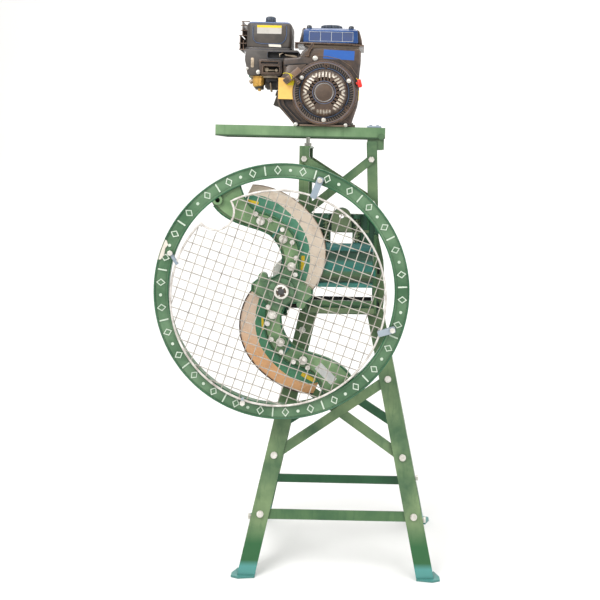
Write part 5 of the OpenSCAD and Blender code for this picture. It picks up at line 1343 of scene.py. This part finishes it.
    def air_box(self) -> None:
        """Builds the air cleaner: tall cover, raised panel, front duct, knob and bare label."""
        cover = Bench.plate("cover", rounded((-306, -92), (-170, 50), 18, 6), 1536, 1622.5, Side.TOP, 14.0, 5)
        skirt = Bench.plate("skirt", rounded((-307, -93.4), (-168, 52), 15, 6), 1534, 1543, Side.TOP, 2.2, 2)
        front = Bench.plate("front", [(-306, 1537), (-309, 1517), (-309.5, 1504), (-306, 1490), (-303, 1471),
                                      (-301, 1461), (-297, 1458), (-198, 1458), (-192, 1463), (-192, 1500),
                                      (-146, 1507), (-143, 1512), (-144, 1530), (-150, 1536)],
                            -95, -34, edge=4.5, steps=4)
        slot = Bench.plate("slot", rounded((-241, 1510.5), (-147, 1530), 4, 3), -110, -80)
        chamber = Bench.plate("chamber", [(-264, 1440), (-204, 1440), (-204, 1495), (-264, 1495)], -110, -79)
        Bench.cut(front, [slot, chamber])
        panel = Bench.plate("panel", [(-283, 1610), (-187, 1611), (-185, 1582), (-188, 1570), (-197, 1558),
                                      (-212, 1554.5), (-262, 1555), (-276, 1558), (-284, 1567), (-286, 1582)],
                            -94.6, -88, edge=1.6, steps=3)
        fit(Bench.smooth(Bench.join("air_cover", [cover, skirt, front, panel])), "platform", Coat.BLACK, "air_cleaner")
        # Blue line round the raised panel: painted reflection along its edge.
        trim = [[(x, -94.6, z) for x, z in (
            (-286.5, 1606), (-286.5, 1580), (-284.5, 1566), (-276, 1557.4), (-262, 1554.4), (-211, 1553.8),
            (-196, 1557.6), (-187.4, 1569), (-184.4, 1584), (-184.6, 1608))]]
        fit(Bench.wires("panel_glint", trim, 0.8), "platform", Coat.TRIM)
        profile = [(0, 0), (14.5, 0), (15.5, 3), (14.5, 17), (11.5, 20), (0, 20)]
        knob = Bench.turned("knob", profile, (-237, -52, 1621.6), "Z", 40)
        rib = Bench.rod("rib", (-222.5, -52, 1625), (-223.2, -52, 1639), 1.8, 8)
        middle = Matrix.Translation(Vector((-237, -52, 0)) * MM)
        ribs = [Bench.copy(rib, middle @ Matrix.Rotation(math.radians(30 * i), 4, "Z") @ middle.inverted())
                for i in range(12)]
        bpy.data.objects.remove(rib)
        fit(Bench.smooth(Bench.join("air_knob", [knob, *ribs])), "platform", Coat.SLATE)
        self.sticker("air_label", rounded((-274, 1584.5), (-200, 1610), 1.0, 3), -94.6, Coat.PRINT)
        self.sticker("air_label_stripe", rounded((-274, 1603), (-200, 1610), 0.8, 3), -94.95, Coat.YELLOW)
        self.sticker("air_badge", [(-239, 1554), (-237, 1545.5), (-200, 1544.5), (-201, 1552)], -93.6, Coat.TAPE)

    def intake(self) -> None:
        """Builds the carburettor's cover with its windows, the levers behind them and the gold bowl."""
        cover = Bench.plate("cover", [(-266, 1504), (-258, 1507), (-200, 1504), (-194, 1500), (-193, 1464),
                                      (-197, 1459),
                                      (-258, 1459), (-262, 1464)], -108, -94, edge=2.2, steps=3)
        windows = [Bench.plate("window", rounded((-252, 1466), (-204, 1485), 3, 3), -120, -92),
                   Bench.plate("window", rounded((-260, 1491.5), (-206, 1499), 1.5, 3), -120, -100)]
        fit(Bench.smooth(Bench.cut(cover, windows)), "platform", Coat.ENAMEL)
        corners = ((-254, 1487), (-202, 1486.5), (-202, 1464.5), (-254, 1464), (-254, 1487))
        frame_line = [[(x, -108.6, z) for x, z in corners]]
        fit(Bench.wires("window_frame", frame_line, 1.0), "platform", Coat.SCREEN)
        # Dark sheets behind the cover's windows and the duct's slot: painted shade.
        inside = Bench.plate("window_dark", rounded((-262, 1461), (-206, 1493), 3, 3), -80.2, -79.2)
        back = Bench.plate("shade_black", rounded((-240, 1511), (-148, 1529.5), 4, 3), -81.5, -80.2)
        fit(Bench.join("window_darks", [inside, back]), "platform", Coat.SLOT)
        choke = [Bench.rod("pin", (-244, -88, 1474.5), (-213, -88, 1474), 2.8, 12),
                 Bench.rod("disc", (-243, -92.6, 1476), (-243, -85, 1476), 6.4, 20),
                 Bench.rod("stub", (-213, -92.6, 1474), (-213, -85, 1474), 4.4, 16),
                 Bench.rod("web", (-254, -86, 1484), (-244, -86, 1477), 3.2, 12),
                 Bench.rod("pivot", (-256, -90, 1486), (-256, -81.2, 1486), 5.4, 20, 0.6)]
        fit(Bench.smooth(Bench.join("choke_arm", choke)), "choke", Coat.STEEL, "choke_lever")
        steel = [Bench.plate("lever", [(-204, 1513), (-203, 1522), (-192, 1526), (-186, 1519), (-153, 1514),
                                       (-151, 1518),
                                       (-160, 1521), (-188, 1525), (-198, 1528), (-207, 1524)], -90, -86, edge=0.8),
                 Bench.plate("plate", rounded((-291, 1481), (-281, 1511), 3.5, 4), -97, -93.5, edge=1.0)]
        fit(Bench.smooth(Bench.join("intake_levers", steel)), "platform", Coat.STEEL)
        bowl = Bench.turned("bowl", [(0, -28), (14, -28), (17.2, -25), (17.8, 0), (20, 1.5), (20, 4), (0, 4)],
                            (-269.5, -68, 1452.5), "Z", 40)
        tip = Bench.turned("tip", [(0, 0), (4, 0), (5, 3), (5, 9), (0, 9)], (-266, -68, 1411.5), "Z", 16)
        fit(Bench.join("carb_bowl", [bowl, tip]), "platform", Coat.BOWL)
        cuff = Bench.turned("cuff", [(0, 0), (11, 0), (14, 3), (16.5, 10.5), (0, 10.5)], (-268, -68, 1419.5), "Z", 32)
        lump = Bench.block("lump", (-246, -60, 1418), (-213, -30, 1457), 3.0)
        fit(Bench.smooth(Bench.join("carb_dark", [cuff, lump])), "platform", Coat.BLACK)
        flange = Bench.plate("carb_flange", [(-294, 1453), (-294, 1459), (-216, 1459), (-205, 1453), (-216, 1451.5)],
                             -80, -40, edge=1.0)
        fit(flange, "platform", Coat.STEEL)
        guard = Bench.plate("side_guard", [(-301, 1463), (-281, 1463), (-282, 1443), (-300, 1455)], -58, -52, edge=1.0)
        fit(guard, "platform", Coat.TEAL)
        side = [Bench.rod("elbow", (-296, -66, 1437), (-285, -66, 1446), 6.5, 20),
                Bench.rod("stem", (-233, -64, 1438), (-229, -64, 1410), 3.2, 16)]
        fit(Bench.join("carb_steel", side), "platform", Coat.STEEL)

    def tank(self) -> None:
        """Builds the fuel tank: blue middle, dark enamel ends as painted shade on its sides, flange, pan, silver frame
        and corner stops.
        """
        middle = Bench.plate("middle", [(-133, 1560), (33, 1560), (31, 1598), (22, 1607), (-124, 1607), (-132, 1603)],
                             -106, 76)
        slope = Bench.plate("slope", [(-112, 1595), (-78, 1607.2), (-78, 1640), (-112, 1640)], -170, 60, Side.END)
        Bench.bevel(Bench.cut(middle, [slope]), 5.0, 4)
        neck = Bench.turned("neck", [(0, 0), (24, 0), (24, 6), (0, 6)], (*self.cap_at, 1603.6), "Z", 40)
        fit(Bench.smooth(Bench.join("tank_body", [middle, neck])), "platform", Coat.TANK, "fuel_tank")
        # Dark enamel ends: painted shade on the tank's sides.
        ends = [Bench.plate("end", [(-146, 1558), (-128, 1558), (-128, 1606), (-136, 1603), (-141, 1580)],
                            -98, 68, edge=3.0),
                Bench.plate("end", [(28, 1558), (46, 1558), (43, 1574), (36, 1598), (28, 1603)], -98, 68, edge=3.0)]
        flange = Bench.plate("flange", [(-158, 1556), (-158, 1560), (0, 1558.5), (51, 1554.5), (51, 1550), (0, 1553.5)],
                             -110, 80, edge=1.2)
        fit(Bench.smooth(Bench.join("tank_shaded_ends", [*ends, flange])), "platform", Coat.ENAMEL)
        seam = Bench.plate("tank_seam", [(-130, 1560.6), (31, 1559.2), (31, 1562), (-130, 1563.4)], -108, -98, edge=0.8)
        fit(seam, "platform", Coat.TANK)
        pan = Bench.plate("tank_pan", [(-134, 1554), (-112, 1542.5), (28, 1541.5), (38, 1549), (34, 1553.4), (0, 1555)],
                          -102, 70, edge=2.0)
        lug = Bench.block("lug", (-158, -106, 1541), (-149, -92, 1556), 1.5)
        y = -106.0
        fit(Bench.smooth(pan), "platform", Coat.PAN)
        fit(lug, "platform", Coat.ENAMEL)
        self.sticker("tank_panel", rounded((-115, 1564), (17, 1592), 2.0, 3), y, Coat.PANEL)
        y = -106.6
        border = [[(-115, y, 1564), (17, y, 1564), (17, y, 1592), (-115, y, 1592), (-115, y, 1564)]]
        posts = [[(x, y, 1564), (x, y, 1592)] for x in (-81, -48, -15)]
        lines = [Bench.wires("border", border, 0.9), Bench.wires("posts", posts, 0.7)]
        fit(Bench.join("tank_frame", lines), "platform", Coat.SILVER)
        bumps = []
        for x, y in ((-117, -74), (11, -74), (-117, 56), (11, 56)):
            bumps.append(Bench.turned("bump", [(0, 0), (8, 0), (8, 6), (6, 9), (0, 10)], (x, y, 1606), "Z", 24))
        fit(Bench.join("tank_bumpers", bumps), "platform", Coat.SLATE)

    def cap(self) -> None:
        """Builds the fuel cap with its grip ribs."""
        x, y = self.cap_at
        centre = Vector((x, y, 0)) * MM
        top = Bench.turned("top", [(0, 0), (31, 0), (32, 2), (31.5, 10), (29, 12.2), (0, 12.6)],
                           (x, y, 1610.4), "Z", 48)
        rib = Bench.rod("rib", (x + 31.5, y, 1611), (x + 30.5, y, 1621), 2.6, 8)
        ribs = []
        for i in range(18):
            spin = Matrix.Rotation(math.radians(20 * i), 4, "Z")
            turn = Matrix.Translation(centre) @ spin @ Matrix.Translation(-centre)
            ribs.append(Bench.copy(rib, turn))
        bpy.data.objects.remove(rib)
        fit(Bench.smooth(Bench.join("cap_grip", [top, *ribs])), "cap", Coat.SLATE, "fuel_cap")

    def exhaust(self) -> None:
        """Builds the muffler's guard of thin bars at the engine's left end."""
        bars = [Bench.block("bar", (x, -56, low), (x + 3.0, 60, high), 0.8)
                for x, low, high in ((-324, 1582, 1626), (-331, 1538, 1583), (-321, 1538, 1568))]
        bars += [Bench.block("rung", (x, -60, z), (-300, -54, z + 2.4), 0.8)
                 for x, z in ((-326, 1624), (-329, 1612), (-329, 1597), (-333, 1581), (-333, 1557), (-333, 1538))]
        fit(Bench.join("muffler_bars", bars), "platform", Coat.ENAMEL)

    def switch(self) -> None:
        """Builds the stop switch and the yellow tie under it."""
        outline = [(33, 1446), (36, 1448.5), (43, 1448), (48, 1430), (47, 1425), (38, 1423), (35, 1428)]
        body = Bench.plate("body", outline, self.face_y - 9, self.face_y - 1, edge=1.6)
        stem = Bench.rod("stem", (33, self.face_y - 3, 1436.5), (33, self.face_y + 13.7, 1436.5), 4.0, 16, 0.4)
        fit(Bench.smooth(Bench.join("switch_knob", [body, stem])), "switch", Coat.RED, "stop_switch")
        tie = [[(36, -120, 1422), (38, -122, 1410), (37, -121, 1398), (37, -120, 1386)],
               [(29, -128, 1452), (33, -128, 1449), (37, -126, 1450)]]
        fit(Bench.wires("switch_tie", tie, 1.2), "platform", Coat.YELLOW)

    def build(self) -> None:
        """Dresses the engine and adds its pieces."""
        dress("crankcase cylinder_head carburettor", Coat.ALLOY)
        dress("crankshaft engine_pulley", Coat.OILED)
        dress("fuel_lever", Coat.BLACK)
        dress("engine_bolts", Coat.OILED)
        dress("muffler throttle_lever", Coat.ENAMEL)
        self.shroud()
        self.recoil()
        self.screen()
        self.cover_bolts()
        self.pull_grip()
        self.tag()
        self.air_box()
        self.intake()
        self.tank()
        self.cap()
        self.exhaust()
        self.switch()
        film = [(-69, 1537), (23, 1534), (22, 1506), (-71, 1510)]
        self.sticker("shroud_label", film, self.shroud_y[0], Coat.BLUEFILM)


def corners(box: object) -> list[list[float]]:
    """Turns a box's two corners into plain lists."""
    return [list(map(float, corner)) for corner in box]


def main() -> None:
    """Builds the scene, piece by piece."""
    logging.basicConfig(level=logging.INFO, format="%(name)s: %(message)s")
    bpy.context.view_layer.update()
    Studio().build()
    for assembly in (CuttingWheel(), Guard(), Head(), Stand(), Engine()):
        assembly.build()
        log.info("%s done", type(assembly).__name__)


if __name__ == "__main__":
    main()
